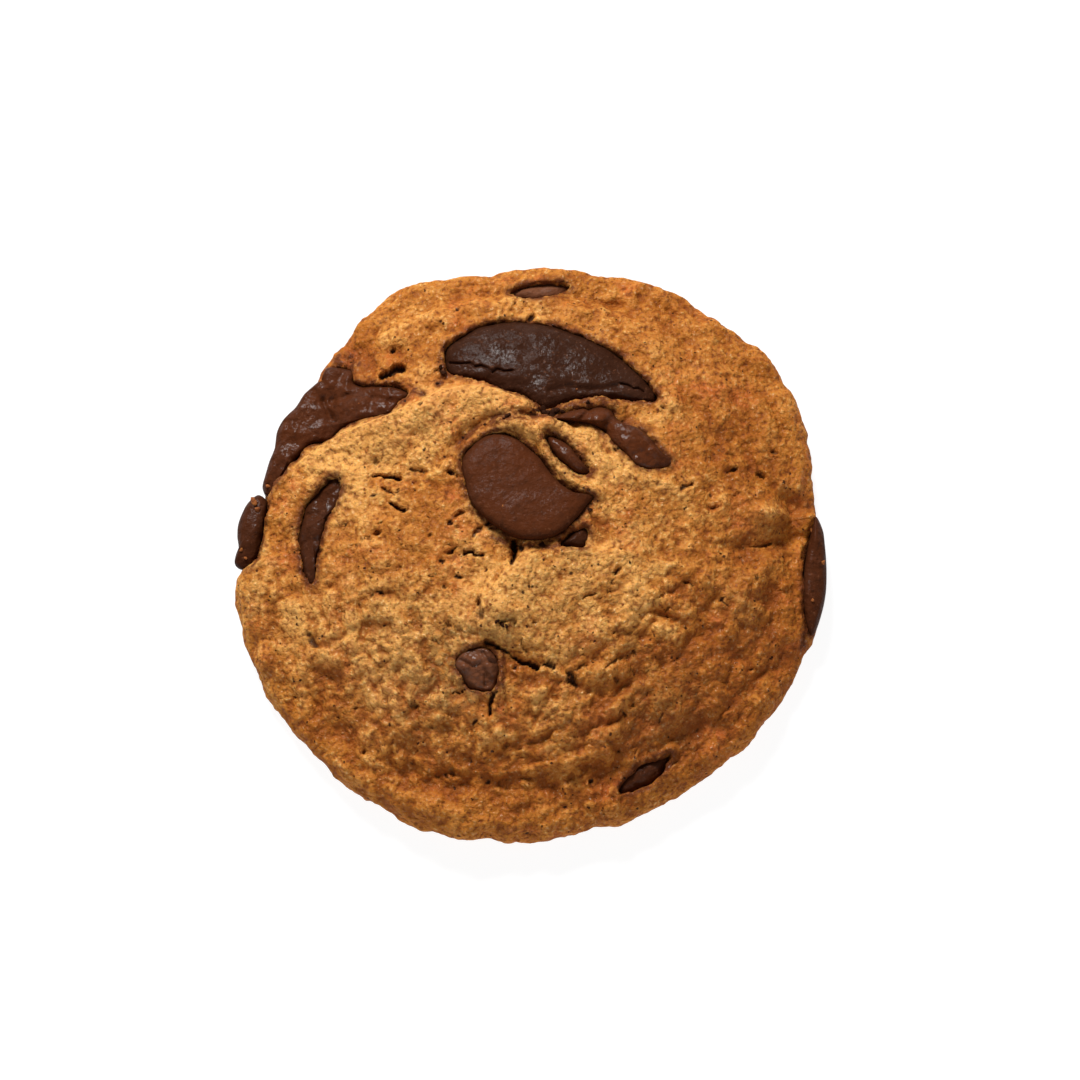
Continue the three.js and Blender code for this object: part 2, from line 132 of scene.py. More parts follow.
# The edge bulges and draws in: direction in degrees, millimetres outwards, half-width in degrees
EDGE_LOBES = [
    (36, 3.4, 15), (60, 1.4, 12), (80, 0.6, 12), (96, -0.5, 10), (114, 1.0, 9), (150, -5.2, 12),
    (167, -3.0, 8), (178, -2.6, 6), (190, -0.2, 12), (222, -0.8, 8), (282, -1.1, 24), (310, -0.8, 9),
    (340, 0.6, 9), (0, -1.0, 7), (20, 0.7, 7), (58, 0.6, 10), (130, -0.7, 6), (161, 0.5, 5),
    (200, 0.4, 5), (322, 0.4, 7), (350, 0.8, 8),
]

# Folds and creases of the top: the path over the crest, the height at its two ends, the fall-off on
# the path's left and right, and how far the crest leans to the left
FOLDS = [
    # the thick fold that hangs over the chocolate at the left and runs up to the middle
    ([(-37.5, -6), (-36, 2), (-34, 8.5), (-30.5, 13), (-26, 15.4), (-20.5, 17.2), (-15, 19.2),
      (-10, 21.3), (-5, 21.3), (0, 19.3)], (1.7, 2.8), (0.9, 4.3), 0.4),
    # the arc of dough beyond the largest piece
    ([(-17, 30.5), (-12, 33.5), (-6, 35), (0, 35.4), (7.5, 34.4), (14, 31.2), (19, 26.2), (21, 21)],
     (1.0, 0.8), (1.9, 1.5), 0.0),
    # the strand over the wafer's upper edge
    ([(-3.5, 17), (-1, 16.6), (1, 15.7), (2.5, 13.9), (3.6, 11.8), (5.2, 9.8), (7.4, 7.9), (10, 6.9)],
     (1.2, 1.4), (0.9, 1.0), 0.0),
    # the strand between the two upper pieces
    ([(3.2, 17), (5.5, 16), (8, 14.6), (10, 12.8), (12, 10.6), (15, 9), (20, 8.6)],
     (1.1, 0.7), (0.9, 1.5), 0.0),
    # the lobe in the lower half
    ([(-5.5, -7.5), (-3.5, -4.6), (0, -3), (5, -2), (10.5, -1.6), (16, -2.2)],
     (1.7, 1.0), (1.2, 5.5), 0.2),
    ([(-3, -13.2), (0.5, -13.8), (4.5, -14.4), (8.5, -13.6), (12.5, -11.5), (17, -8.5)],
     (0.9, 0.6), (5.0, 1.4), 0.0),
    # the sharp nub at the right
    ([(25, 5.8), (30, 5.4), (34, 5.0)], (0.3, 1.4), (2.8, 1.5), 0.0),
    ([(34, 5.0), (36, 4.9)], (1.2, 0.9), (1.3, 1.0), 0.0),
    ([(26, -20), (28.5, -12), (31.5, -5.5), (34.5, -1.5)], (0.4, 0.9), (1.4, 1.6), 0.0),
    # the foot that the dough spread out into
    ([(-37, -14), (-31, -25), (-21, -33), (-9, -37), (3, -37.5), (15, -35), (25, -29.5), (33, -21)],
     (0.9, 0.7), (2.4, 2.2), 0.0),
    ([(-22, 33), (-12, 38), (0, 39.5), (12, 39)], (0.6, 0.6), (1.5, 1.5), 0.0),
]
CREASES = [
    # between the largest fold and the strands beside it
    ([(3.4, 18.3), (0, 17.9), (-4, 17.4), (-6.6, 16.6), (-8.9, 15), (-10.3, 12.8), (-10.3, 10)],
     (-1.3, -0.6), (0.7, 0.8), 0.0),
    ([(-5.0, -14.6), (-2.5, -15.2), (0, -16.4), (2.2, -17.2), (4, -17.8)], (-0.6, -0.4), (0.8, 1.2), 0.0),
    ([(-1.6, 0.4), (-1.8, -2.6), (-3.4, -4.3), (-4.6, -5.9), (-6.4, -8), (-6.6, -9.5), (-6.8, -12.5)],
     (-1.3, -0.5), (0.8, 1.0), 0.0),
    ([(25.5, -0.6), (27.5, 0.1), (30, 0.4), (32.5, 0.4), (34.6, 1.2), (36.6, 2), (38.2, 2.7)],
     (-0.5, -1.5), (1.1, 1.1), 0.0),
    ([(29, 15), (31.6, 11.8), (34.4, 9.2), (36.8, 7.2), (38.2, 5.0)], (-0.4, -1.9), (1.3, 0.9), 0.0),
    ([(-34, -12.5), (-30, -20.5), (-25, -26.5), (-18, -31), (-9.5, -33), (-1, -33.2), (7, -32.2),
      (15.5, -29.5), (23, -25)], (-0.8, -1.0), (1.5, 1.7), 0.0),
    ([(-27.5, -18), (-20.5, -23), (-12, -25.6), (-5.5, -25.6)], (-0.3, -0.5), (1.1, 1.1), 0.0),
    ([(-18, -28), (-9.5, -29.6), (-1, -29), (5.5, -27.5), (12.5, -25)], (-0.3, -0.3), (1.0, 1.0), 0.0),
    ([(4.5, -21.5), (12.5, -20), (19.5, -16.5), (25, -12)], (-0.4, -0.6), (1.1, 1.1), 0.0),
    ([(24.5, -11), (28, -5.5), (29.5, -1)], (-0.7, -0.6), (1.4, 1.4), 0.0),
    ([(-34.5, -4), (-32.5, -11), (-27, -19)], (-0.5, -0.5), (1.3, 1.3), 0.0),
    ([(-16, 35.3), (-6, 37.3), (4, 37.8), (13, 35.5)], (-0.5, -0.9), (1.2, 1.2), 0.0),
    ([(-7.5, -1.4), (-12, -2.2), (-17, -1.2), (-21, 1.5)], (-0.5, -0.3), (0.9, 0.9), 0.0),
    ([(9, -15.8), (12, -16.6), (16, -13.5), (18.5, -9.5)], (-0.8, -0.4), (0.9, 1.0), 0.0),
    ([(21, 23), (25, 18), (26.5, 12), (25.5, 6)], (-0.4, -0.5), (1.3, 1.3), 0.0),
]

# Cracks and slits, with painted shade on their floors: path, depth and half-width at the two ends
CRACKS = [
    ([(-5.4, -13.9), (-4.2, -14.3), (-2.9, -15), (-1.9, -15.6)], (1.4, 1.0), (0.3, 0.15)),
    ([(-1.6, -15.9), (-0.6, -16.6), (0.6, -16.8), (1.6, -17.3)], (1.3, 1.5), (0.22, 0.38)),
    ([(2.6, -16.9), (3.4, -17), (4, -17.4)], (0.9, 0.9), (0.17, 0.3)),
    ([(-4.3, -21.2), (-4.9, -22.4), (-4.8, -23.7)], (1.6, 1.2), (0.3, 0.22)),
    ([(-1.6, 0.2), (-1.4, -1.2), (-1.5, -2.2), (-1.9, -3.2)], (2.0, 1.3), (0.34, 0.3)),
    ([(-20.2, 24.6), (-19.2, 25.0), (-18.2, 25.7), (-17.4, 25.6)], (1.8, 1.8), (0.45, 0.55)),
    ([(-21.4, 9.9), (-20.2, 10.1), (-19.6, 9.7), (-18.4, 9.7), (-17.6, 9.2)], (1.0, 1.4), (0.11, 0.3)),
    ([(-18.8, 5.8), (-17.9, 5.2), (-17.2, 4.8), (-16.7, 4.7)], (1.0, 1.0), (0.15, 0.19)),
    ([(-8.4, -1.6), (-7.4, -1.3), (-6.9, -1.8), (-6.0, -1.9)], (1.2, 1.0), (0.26, 0.22)),
    ([(-6.4, -8.2), (-6.2, -9.6), (-6.0, -11.0)], (0.7, 0.6), (0.19, 0.3)),
    ([(-3.6, -11.6), (-2.8, -11.3), (-1.6, -11.1), (-1.4, -11.6)], (0.6, 0.6), (0.22, 0.26)),
    ([(31.4, 0.5), (33, 0.6), (34.4, 1.2)], (0.5, 0.6), (0.075, 0.19)),
    ([(11.2, -17.4), (12.2, -16.6), (12.6, -16.2)], (0.7, 0.6), (0.15, 0.15)),
    ([(-9.9, -20.6), (-9.0, -20.7), (-8.4, -20.5)], (0.8, 0.8), (0.15, 0.19)),
    ([(13.2, -23.0), (13.9, -23.6)], (0.8, 0.7), (0.19, 0.22)),
    ([(22.4, 8.2), (23.2, 8.6)], (0.7, 0.7), (0.22, 0.22)),
]

# Crust that melted chocolate stained: path and half-width
SMEARS = [
    ([(5.4, 18.9), (3.6, 18.4), (0.5, 17.9), (-2.2, 17.6), (-4.2, 17.3)], 1.2),
    ([(-4.6, 17.0), (-6.6, 16.2), (-8.2, 14.9), (-9.6, 13.2)], 0.7),
    ([(2.2, 19.0), (4.6, 19.0), (7, 19.7), (9.6, 20.2), (12, 19.9)], 1.1),
    ([(-4.6, 0.8), (-1.6, -0.6), (2, -0.8), (5.6, -1.2), (8.4, -1.2)], 0.5),
    ([(-11.6, 25.4), (-11.2, 24.4), (-12.2, 23.2)], 0.8),
    ([(-17.6, 22.9), (-15.6, 22.3), (-14.4, 21.6)], 0.7),
    ([(-27, 27), (-26, 28.4), (-24, 27.2)], 1.2),
    ([(-3.2, -15.4), (-3, -17.4), (-3.2, -20.2)], 0.6),
    ([(39.2, -11.5), (39.4, -13.5)], 0.8),
]

# Where the crust is paler, or darker where the strength is less than 0: partly its own baking and partly
# painted light and shade, as on the lower right, painted darker where it slopes away from the light: place,
# spread and strength
BAKING_AND_PAINTED_LIGHT_SPOTS = [
    (-18, 11, 10, 0.4), (-28, 13, 6, 0.6), (-17, -3, 7, -0.15), (-15, 7, 6, -0.75), (-34, -10, 7, 0.4),
    (-19, -15, 10, 0.5), (0, -26, 7, 0.35), (7, -8, 11, 0.08), (12, 12, 6, 0.3), (0, 34.5, 8, 0.15),
    (-13, 22, 5, 0.3), (35, 5.5, 4, 0.05), (-26, 29, 4, -0.6), (-12, 27, 5, -0.2), (34, -12, 12, -0.5),
    (23, -26, 11, -0.9), (-24, -22, 12, -0.12), (2, -31, 9, -0.3), (28, 14, 9, -0.15),
]

# Where the crust is ruddy, and where it is dull and olive: place, spread and strength
RUDDY = [
    (-2.8, -23.3, 1.9, 1.0), (-7.8, -22.6, 1.7, 0.9), (5.3, -20, 1.5, 0.7), (9, -14, 1.6, 0.6),
    (10.5, -24.4, 1.8, 0.6), (8.6, -26.6, 1.8, 0.6), (-32.4, 9, 1.1, 0.9), (-34.5, 6, 1.2, 0.7),
    (-25, 28, 2.2, 0.9), (-21, 18.2, 2, 0.5), (-11, 20.5, 3, 0.5), (-9.4, 2.2, 1.8, 0.8),
    (8.6, 3.4, 1.6, 0.8), (26.5, -10.5, 1.1, 0.9), (2, 17.5, 2.5, 0.6), (-10.2, 6.6, 1.3, 1.0),
    (-6.1, 1.3, 1.2, 0.8), (-5.4, 23.6, 1.6, 0.8), (-27.5, 16.6, 1.8, 0.6), (-18, -21, 3, 0.4),
]
OLIVE = [
    (-9.5, -13.4, 2.6, 0.9), (-3, -12.6, 2.4, 0.7), (-7.4, -21.2, 1.6, 0.8), (-5.4, -9.6, 1.4, 0.6),
    (14, -13.8, 2.2, 0.5), (3, -9.5, 6, 0.35), (-14, -14, 6, 0.3), (33, 2.4, 3.0, 0.25),
    (30, -8, 3.0, 0.5), (-20, -19, 6, 0.35), (-10, -18.5, 3.6, 0.9), (-14, -22, 4.5, 0.6),
    (-22, -9, 6, 0.35), (6, -24, 4, 0.5), (18, -22, 6, 0.45),
]

# Pits of the crust that are large enough to pick out: place, radius and depth
LARGE_PITS = [
    (-9.1, 4.1, 0.55, 1.2), (-9.5, 9.3, 0.35, 0.8), (-10.5, 2.8, 0.35, 0.6), (6.4, -19.0, 0.62, 1.2),
    (-10.2, -1.3, 0.4, 0.8), (-11.6, -2.7, 0.35, 0.6), (11.0, -3.7, 0.33, 0.6),
    (-11.0, -6.4, 0.38, 0.7), (-0.4, -8.0, 0.3, 0.5), (1.3, -11.5, 0.33, 0.7),
    (-10.6, -11.5, 0.32, 0.7), (32.4, -4.3, 0.4, 0.7), (27.4, -7.4, 0.4, 0.6), (29.0, 11.0, 0.35, 0.8),
    (35.0, 14.2, 0.4, 0.7), (-29.8, -13.0, 0.6, 0.6), (22.0, 8.0, 0.45, 0.8), (19.4, 19.6, 0.3, 0.7),
]

# Pieces of chocolate. outline is the piece's own edge seen from above, heart a place from which all of
# a bent one's outline can be seen, rise how far its top stands over the plain dome, bend the share of
# the dome's own curve that it follows, depth its thickness, tilt its turn about X and Y in degrees from
# lying along the dome, square how flat its top is, tone its lightness, cover how far the dough's torn
# edge reaches over it (less than 0 where a gap stays open), bumps how uneven its top is, and shine how
# glossy it is.
CHOCOLATE = {
    "chunk_upper": dict(
        outline=[(-11.4, 27.4), (-10.9, 29.2), (-8.6, 30.6), (-6.8, 31.8), (-3.6, 32.5), (-1, 32.7),
                 (3.6, 32), (8.2, 30.3), (12.2, 28.2), (16.6, 24.4), (18.3, 21.8), (17.6, 20.6),
                 (12.9, 20.8), (9.2, 20.8), (6, 20.2), (3.9, 19.2), (2.2, 19.4), (0.3, 20.8),
                 (-1.6, 21.6), (-3.3, 22), (-6.2, 23.4), (-9.8, 24.3), (-11, 25.4)],
        rise=0.2, depth=5.5, bend=0.5, tilt=(6, 0), square=3.6,
        tone=0.12, cover=0.0, bumps=0.9, shine=0.75),
    "wafer_middle": dict(
        outline=[(-4.6, 15.4), (-2.8, 15.3), (-0.9, 14.5), (0.5, 13.2), (2.1, 11.7), (3.3, 9.9), (5, 8),
                 (7, 6.7), (9.4, 6.2), (8.6, 5), (7.2, 3.2), (5.2, 1.3), (3.4, 0.4), (0.6, 0.1),
                 (-1.6, 0.6), (-4, 2), (-6.3, 4), (-7.7, 6), (-8.3, 8.4), (-8.8, 10.6), (-8.4, 12.3),
                 (-6.6, 14.3)],
        heart=(0, 7), rise=1.5, depth=4.2, tilt=(-4, 0), square=5,
        tone=0.84, cover=-0.05, bumps=0.5, shine=0.3),
    "lobe_upper_right": dict(
        outline=[(4, 17.6), (4.8, 18.2), (7, 18.9), (10, 19.4), (12, 19), (13, 17.7), (14.6, 16.7),
                 (16.3, 16.2), (17.8, 14.7), (19.2, 12.9), (20.4, 11.8), (19.8, 10.9), (17.4, 10.4),
                 (15.5, 10.9), (14, 12.5), (12.4, 13.9), (11.4, 15.4), (10, 16.4), (8.2, 17),
                 (5.6, 17.3)],
        heart=(12.4, 16.9), rise=1.6, depth=4.6, tilt=(0, 0), square=2.3,
        tone=1.0, cover=0.05, bumps=2.0, shine=1.7),
    "chip_beside_wafer": dict(
        outline=[(3.2, 14.9), (4.9, 14.4), (6.3, 13.4), (7.2, 12.2), (8.2, 11), (9, 9.9), (7.9, 9.6),
                 (6.8, 10), (5.7, 10.9), (4.3, 12.2), (3.4, 13.6)],
        rise=1.5, depth=3.6, tilt=(0, 0), square=2.4,
        tone=0.85, cover=-0.25, bumps=1.0, shine=1.3),
    "slab_left": dict(
        outline=[(-27.9, 26.7), (-24.6, 26.2), (-24.2, 24.2), (-22.3, 23.7), (-20, 23.3), (-17.6, 22.9),
                 (-16.3, 22), (-17.4, 20.8), (-18.8, 19.3), (-21, 18.7), (-24.2, 18.1), (-26.2, 17.1),
                 (-27.6, 15.9), (-29.8, 15.5), (-31.5, 14.3), (-33.2, 12.1), (-35, 9.8), (-36.1, 7.9),
                 (-37.1, 9.2), (-36.8, 11), (-36.3, 12.7), (-35.5, 14.9), (-35.1, 17.6), (-33.8, 19.7),
                 (-32.5, 21), (-31.2, 23), (-29.8, 24.3), (-28.7, 25.2)],
        heart=(-31.2, 17.4), bend=0.85, rise=0.9, depth=5.0, tilt=(0, 0), square=4.5,
        tone=0.8, cover=0.0, bumps=2.2, shine=1.05),
    "chip_left": dict(
        outline=[(-26.4, 10.2), (-25.6, 9.1), (-25.8, 7.5), (-26.5, 5.8), (-27.7, 4.4), (-28.1, 2.6),
                 (-28.6, 0.2), (-29.2, -1.4), (-29.3, -3), (-29.3, -4.9), (-30.2, -5.2), (-30.8, -4),
                 (-31.4, -1.8), (-32, 0.8), (-31.8, 3.2), (-31.4, 5.2), (-30.5, 7), (-29, 8.4),
                 (-27.8, 9.5)],
        heart=(-29.8, 2.9), rise=0.9, depth=4.4, tilt=(0, 0), square=2.6,
        tone=0.5, cover=0.05, bumps=2.0, shine=1.2),
    "chip_left_edge": dict(
        outline=[(-37.6, 8.4), (-38.9, 7.5), (-39.8, 6.1), (-40.5, 4.2), (-40.6, 2.4), (-40.4, 0.8),
                 (-40.8, -0.3), (-40.9, -1.5), (-40, -2.2), (-38.6, -2.1), (-37.6, -0.4), (-37.1, 2),
                 (-36.7, 4.6), (-36.4, 7.2)],
        rise=0.7, depth=4.6, bend=0.5, tilt=(0, 6), square=2.6,
        tone=0.5, cover=-0.2, bumps=1.4, shine=0.9),
    "chunk_right_edge": dict(
        outline=[(41, 5.4), (42, 3.6), (42.3, 1.4), (42.5, -1.8), (42.4, -5.1), (41.8, -8.2),
                 (40.6, -11.4), (39.6, -10.6), (39.1, -7.1), (39.1, -3.6), (39.6, -0.2), (40.3, 3)],
        rise=0.1, depth=4.4, tilt=(0, -16), square=2.6,
        tone=0.7, cover=0.25, bumps=1.2, shine=0.4),
    "chip_lower_edge": dict(
        outline=[(20.3, -28.6), (19.7, -31), (17, -33.3), (12.8, -34.4), (14, -31.8), (16.8, -29.8)],
        rise=-0.6, depth=3.6, tilt=(0, 0), square=2.3,
        tone=0.6, cover=0.2, bumps=0.8, shine=0.8),
    "chip_lower": dict(
        outline=[(-9.7, -16.8), (-8.9, -15.5), (-7.3, -14.8), (-5.4, -14.8), (-4.2, -15.7),
                 (-3.6, -17.2), (-3.7, -19), (-4.4, -20.6), (-6, -20.6), (-7.6, -20.3), (-8.6, -18.9),
                 (-9.4, -17.9)],
        rise=0.2, depth=4.4, tilt=(0, 0), square=3.6,
        tone=1.35, cover=0.0, bumps=2.6, shine=1.9),
    "chip_upper_edge": dict(
        outline=[(-2.4, 37.4), (0, 38.8), (3.8, 39.2), (6.6, 38.5), (4.6, 36.9), (1, 36.4)],
        rise=-0.5, depth=3.4, tilt=(0, 0), square=2.3,
        tone=1.5, cover=0.2, bumps=0.8, shine=0.4),
    "sliver_below_wafer": dict(
        outline=[(5.7, 0.4), (7, 1.7), (8.4, 2), (8.8, 0.7), (8.2, -0.7), (6.4, -0.8), (5, -0.5)],
        rise=0.2, depth=2.6, tilt=(0, 0), square=2.3,
        tone=0.3, cover=-0.1, bumps=1.4, shine=1.2),
}

# Cracks in the chocolate: piece, path, depth and half-width
CHOCOLATE_CRACKS = {
    "chunk_upper": [
        ([(-10.6, 26.3), (-9, 26.1), (-7.7, 26.1), (-7.1, 25.5), (-6.2, 25.7), (-5.4, 25.3), (-4.6, 24.6),
          (-3.9, 25.2), (-3, 24.8), (-1.8, 24.9)], 0.5, 0.15),
        ([(13.4, 23.1), (14.4, 22.9), (15.2, 22.4), (15.9, 22.5), (16.6, 22)], 0.5, 0.15),
        ([(3.5, 21.8), (6, 22.5), (8.5, 22.1), (11, 22.3), (13, 22.6)], 0.35, 0.5),
    ],
    "slab_left": [
        ([(-28.6, 21.8), (-28.2, 20.6), (-27.3, 19.4), (-26.8, 18.6)], 0.6, 0.3),
        ([(-27.4, 21.6), (-24.5, 22.3), (-21.5, 21.6), (-19, 20.9)], 0.4, 0.5),
    ],
    "lobe_upper_right": [
        ([(12.9, 18.6), (12.2, 17.3), (11, 16.2)], 1.0, 0.75),
        ([(9, 19.2), (8.6, 18.2), (7.8, 17.2)], 0.6, 0.45),
        ([(17.8, 14), (16.6, 12.8), (15.2, 12.4)], 0.3, 0.4),
    ],
    "chip_lower": [
        ([(-8.9, -16.4), (-7.4, -17.2), (-6.2, -17), (-5.4, -18.2), (-5.4, -19.8)], 0.5, 0.3),
        ([(-5.8, -15.4), (-5.2, -16.4), (-4.2, -16.8)], 0.4, 0.25),
    ],
    "chip_left": [
        ([(-31, 4.6), (-29.6, 5), (-28.4, 4.4)], 0.35, 0.5),
        ([(-31.4, 0.6), (-30, 1.2), (-28.8, 0.8)], 0.3, 0.4),
    ],
}

# Crumbs of crust that lie on the chocolate: piece, place and size
PLACED_CRUMBS = [
    ("chip_left_edge", -38.2, 7.0, 0.8), ("chip_left_edge", -37.7, 6.0, 0.55),
    ("chip_left_edge", -39.9, 0.2, 0.45), ("chip_left_edge", -39.2, -0.9, 0.35),
    ("slab_left", -28.9, 24.6, 0.4), ("slab_left", -23.4, 20.6, 0.2),
    ("chunk_right_edge", 40.4, 3.4, 0.35), ("chunk_right_edge", 41.9, -1.4, 0.4),
    ("chunk_right_edge", 40.3, -6.9, 0.3), ("chunk_upper", 7.2, 22.2, 0.16),
    ("wafer_middle", -3.1, 4.6, 0.2), ("slab_left", -36.2, 9.4, 0.4),
]

# Flecks of chocolate on the crust: place and size
FLECKS = np.array([
    (-3.9, -11.5, 0.42), (-3.2, -11.8, 0.5), (-2.5, -12.1, 0.36), (14.5, -3.0, 0.22),
    (-16.5, 28.5, 0.25), (24.0, 17.0, 0.2), (2.5, 19.1, 0.75), (3.0, 18.5, 0.85), (3.9, 18.3, 0.9),
    (4.5, 18.9, 0.6), (5.2, 18.7, 0.5), (1.5, 18.5, 0.6), (0.8, 18.2, 0.3), (-2.4, 17.7, 0.5),
    (-2.9, 17.2, 0.3), (-5.6, 16.7, 0.35), (-8.6, 14.9, 0.3), (8.8, 19.9, 0.4), (8.9, 4.4, 0.45),
    (5.0, -0.5, 0.35), (2.4, -0.6, 0.5), (-1.6, 0.1, 0.45), (-11.9, 25.6, 0.5), (-11.5, 24.6, 0.7),
    (-12.3, 23.2, 0.3),
])


# Arithmetic shared by the pieces


def smooth_line(points, closed, per_span):
    """A Catmull-Rom curve through the points, as an array of close steps: on each span the cubic that
    leaves one point and reaches the next with the mean slope of their neighbours."""
    p = np.array(points, float)
    if closed:
        p = np.vstack([p[-1], p, p[:2]])
    else:
        p = np.vstack([2 * p[0] - p[1], p, 2 * p[-1] - p[-2]])
    t = np.linspace(0, 1, per_span, endpoint=False)[None, :, None]
    a, b, c, d = (p[i : len(p) - 3 + i][:, None, :] for i in range(4))
    square, cube = 2 * a - 5 * b + 4 * c - d, 3 * b - a - 3 * c + d
    curve = (0.5 * (2 * b + (c - a) * t + square * t**2 + cube * t**3)).reshape(-1, 2)
    return curve if closed else np.vstack([curve, p[-2]])


def nearest_on_line(x, y, line):
    """For each place: distance to the line, share of the way along it, and +1 on the line's left or
    -1 on its right, from the nearest point of each straight step."""
    best = np.full(x.shape, np.inf)
    along = np.zeros(x.shape)
    side = np.ones(x.shape)
    steps = len(line) - 1
    for i in range(steps):
        (ax, ay), (bx, by) = line[i], line[i + 1]
        dx, dy = bx - ax, by - ay
        t = np.clip(((x - ax) * dx + (y - ay) * dy) / max(dx * dx + dy * dy, 1e-12), 0, 1)
        ox, oy = x - ax - t * dx, y - ay - t * dy
        distance = np.hypot(ox, oy)
        closer = distance < best
        best = np.where(closer, distance, best)
        along = np.where(closer, (i + t) / steps, along)
        side = np.where(closer, np.where(dx * oy - dy * ox > 0, 1.0, -1.0), side)
    return best, along, side


def smoothstep(value, low, high):
    """0 below low, 1 above high and the cubic 3t^2 - 2t^3 between."""
    t = np.clip((value - low) / (high - low), 0, 1)
    return t * t * (3 - 2 * t)


def between(ends, share):
    """From the first of two values at share 0 to the second at share 1, in proportion."""
    return ends[0] + (ends[1] - ends[0]) * share


def near_line(x, y, line, margin):
    """Whether each place lies in the line's own box, widened by the margin."""
    low, high = line.min(axis=0) - margin, line.max(axis=0) + margin
    return (x > low[0]) & (x < high[0]) & (y > low[1]) & (y < high[1])


def level_points(x, y, z=0.0):
    """Places in plan as points at one height."""
    return np.column_stack([x, y, np.full(len(x), z)])


def disc_places(draw, reach, count):
    """Places drawn evenly over a disc: reach times the root of an even draw, in an even direction."""
    out = reach * np.sqrt(draw.uniform(0, 1, count))
    angle = draw.uniform(0, 2 * np.pi, count)
    return np.column_stack([out * np.cos(angle), out * np.sin(angle)])


def lattice_places(points, size):
    """Points in the lattice's own units, and the cell that each lies in."""
    scaled = points / size + LATTICE_START
    return scaled, np.floor(scaled).astype(int)


def lattice_noise(points, size, seed):
    """Smooth noise from -1 to 1: random values on a cubic lattice with that spacing, blended between
    the eight corners of each cell by the cubic 3t^2 - 2t^3. Each use has a seed of its own."""
    values = np.random.default_rng(seed).uniform(-1, 1, (LATTICE_COUNT,) * 3)
    scaled, cell = lattice_places(points, size)
    t = smoothstep(scaled - cell, 0, 1)
    total = np.zeros(len(points))
    for corner in np.ndindex(2, 2, 2):
        weight = np.prod(np.where(corner, t, 1 - t), axis=1)
        i, j, k = ((cell + corner) % LATTICE_COUNT).T
        total += weight * values[i, j, k]
    return total


def rough_noise(points, size, octaves, seed):
    """Layers of lattice noise, each half as coarse and a little over half as strong as the last."""
    return sum(0.55**n * lattice_noise(points, size / 2**n, seed + n) for n in range(octaves))


def roughened(values, points, layers):
    """Values with layers of lattice noise added, each with its own strength, size and seed."""
    for strength, size, seed in layers:
        values = values + strength * lattice_noise(points, size, seed)
    return values


def cell_distance(points, size, seed):
    """Distance to the nearest of scattered points, one at random in each cell of a cubic lattice, as
    a share of the cell's size."""
    places = np.random.default_rng(seed).uniform(0, 1, (LATTICE_COUNT,) * 3 + (3,))
    scaled, cell = lattice_places(points, size)
    best = np.full(len(points), np.inf)
    for step in np.ndindex(3, 3, 3):
        corner = cell + step - 1
        i, j, k = (corner % LATTICE_COUNT).T
        offset = corner + places[i, j, k] - scaled
        best = np.minimum(best, np.einsum("ij,ij->i", offset, offset))
    return np.sqrt(best)


def in_outline(x, y, line):
    """1 inside a closed line and 0 outside, by counting how often a ray to the right crosses it."""
    crossings = np.zeros(x.shape, int)
    for (ax, ay), (bx, by) in zip(line, np.roll(line, -1, axis=0)):
        if ay == by:
            continue
        spans = (ay > y) != (by > y)
        crossings += spans & (x < (bx - ax) * (y - ay) / (by - ay) + ax)
    return crossings % 2 == 1


def distance_inside(x, y, line):
    """Distance to a closed line, positive inside it and negative outside."""
    distance, _, _ = nearest_on_line(x, y, np.vstack([line, line[:1]]))
    return np.where(in_outline(x, y, line), distance, -distance)


# The dough's plain form


def edge_radius(angle, shape):
    """Radius of the widest line in a direction: the mean radius plus a bell for each lobe."""
    radius = np.full(np.shape(angle), shape.mean_radius / MM)
    for direction, out, spread in EDGE_LOBES:
        turn = np.degrees(angle) - direction
        turn = turn - 360 * np.round(turn / 360)
        radius = radius + out * np.exp(-((turn / spread) ** 2))
    return radius


def dome_height(x, y, shape):
    """Height of the plain dome: shoulder + (centre - shoulder) * (1 - share^power), with share the
    distance from the middle over the reach of the top in that direction."""
    reach = edge_radius(np.arctan2(y, x), shape) - EDGE_ROUND
    share = np.minimum(np.hypot(x, y) / reach, 1.0)
    shoulder, centre = shape.shoulder_height / MM, shape.centre_height / MM
    return shoulder + (centre - shoulder) * (1 - share**DOME_POWER)


class SeatedPiece:
    """A piece of chocolate made ready: its smooth outline, which runs to the left round it, its middle,
    and the tilted plane through its widest line."""

    def __init__(self, look, shape):
        self.line = smooth_line(look["outline"], True, 12)
        x, y = self.line.T
        area = 0.5 * np.sum(x * np.roll(y, -1) - y * np.roll(x, -1))
        if area < 0:
            self.line = self.line[::-1]
        self.middle = self.line.mean(axis=0)
        self.heart = np.array(look.get("heart", self.middle))
        for key in ("depth", "square", "tone", "bumps", "cover", "shine"):
            setattr(self, key, look[key])
        reach = math.sqrt(abs(area) / math.pi)
        steps = self.middle[:, None] + reach * np.array([[1, -1, 0, 0, 0], [0, 0, 1, -1, 0]])
        east, west, north, south, here = dome_height(*steps, shape)
        self.dome_slope = np.array([east - west, north - south]) / (2 * reach)
        self.slope = self.dome_slope + np.tan(np.radians(look["tilt"]))[::-1]
        self.dome_level, self.level = here, here + look["rise"] - self.depth / 2
        self.bend, self.shape = look.get("bend", 0.0), shape

    def seat(self, x, y):
        """Height of the tilted plane through the widest line, bent by a share of how far the dome
        itself leaves the plane that lies along it."""
        dx, dy = x - self.middle[0], y - self.middle[1]
        flat = self.dome_level + self.dome_slope[0] * dx + self.dome_slope[1] * dy
        bent = self.bend * (dome_height(x, y, self.shape) - flat)
        return self.level + self.slope[0] * dx + self.slope[1] * dy + bent


def seated_pieces(shape):
    """All pieces of chocolate made ready, by name."""
    return {name: SeatedPiece(look, shape) for name, look in CHOCOLATE.items()}


# Making meshes


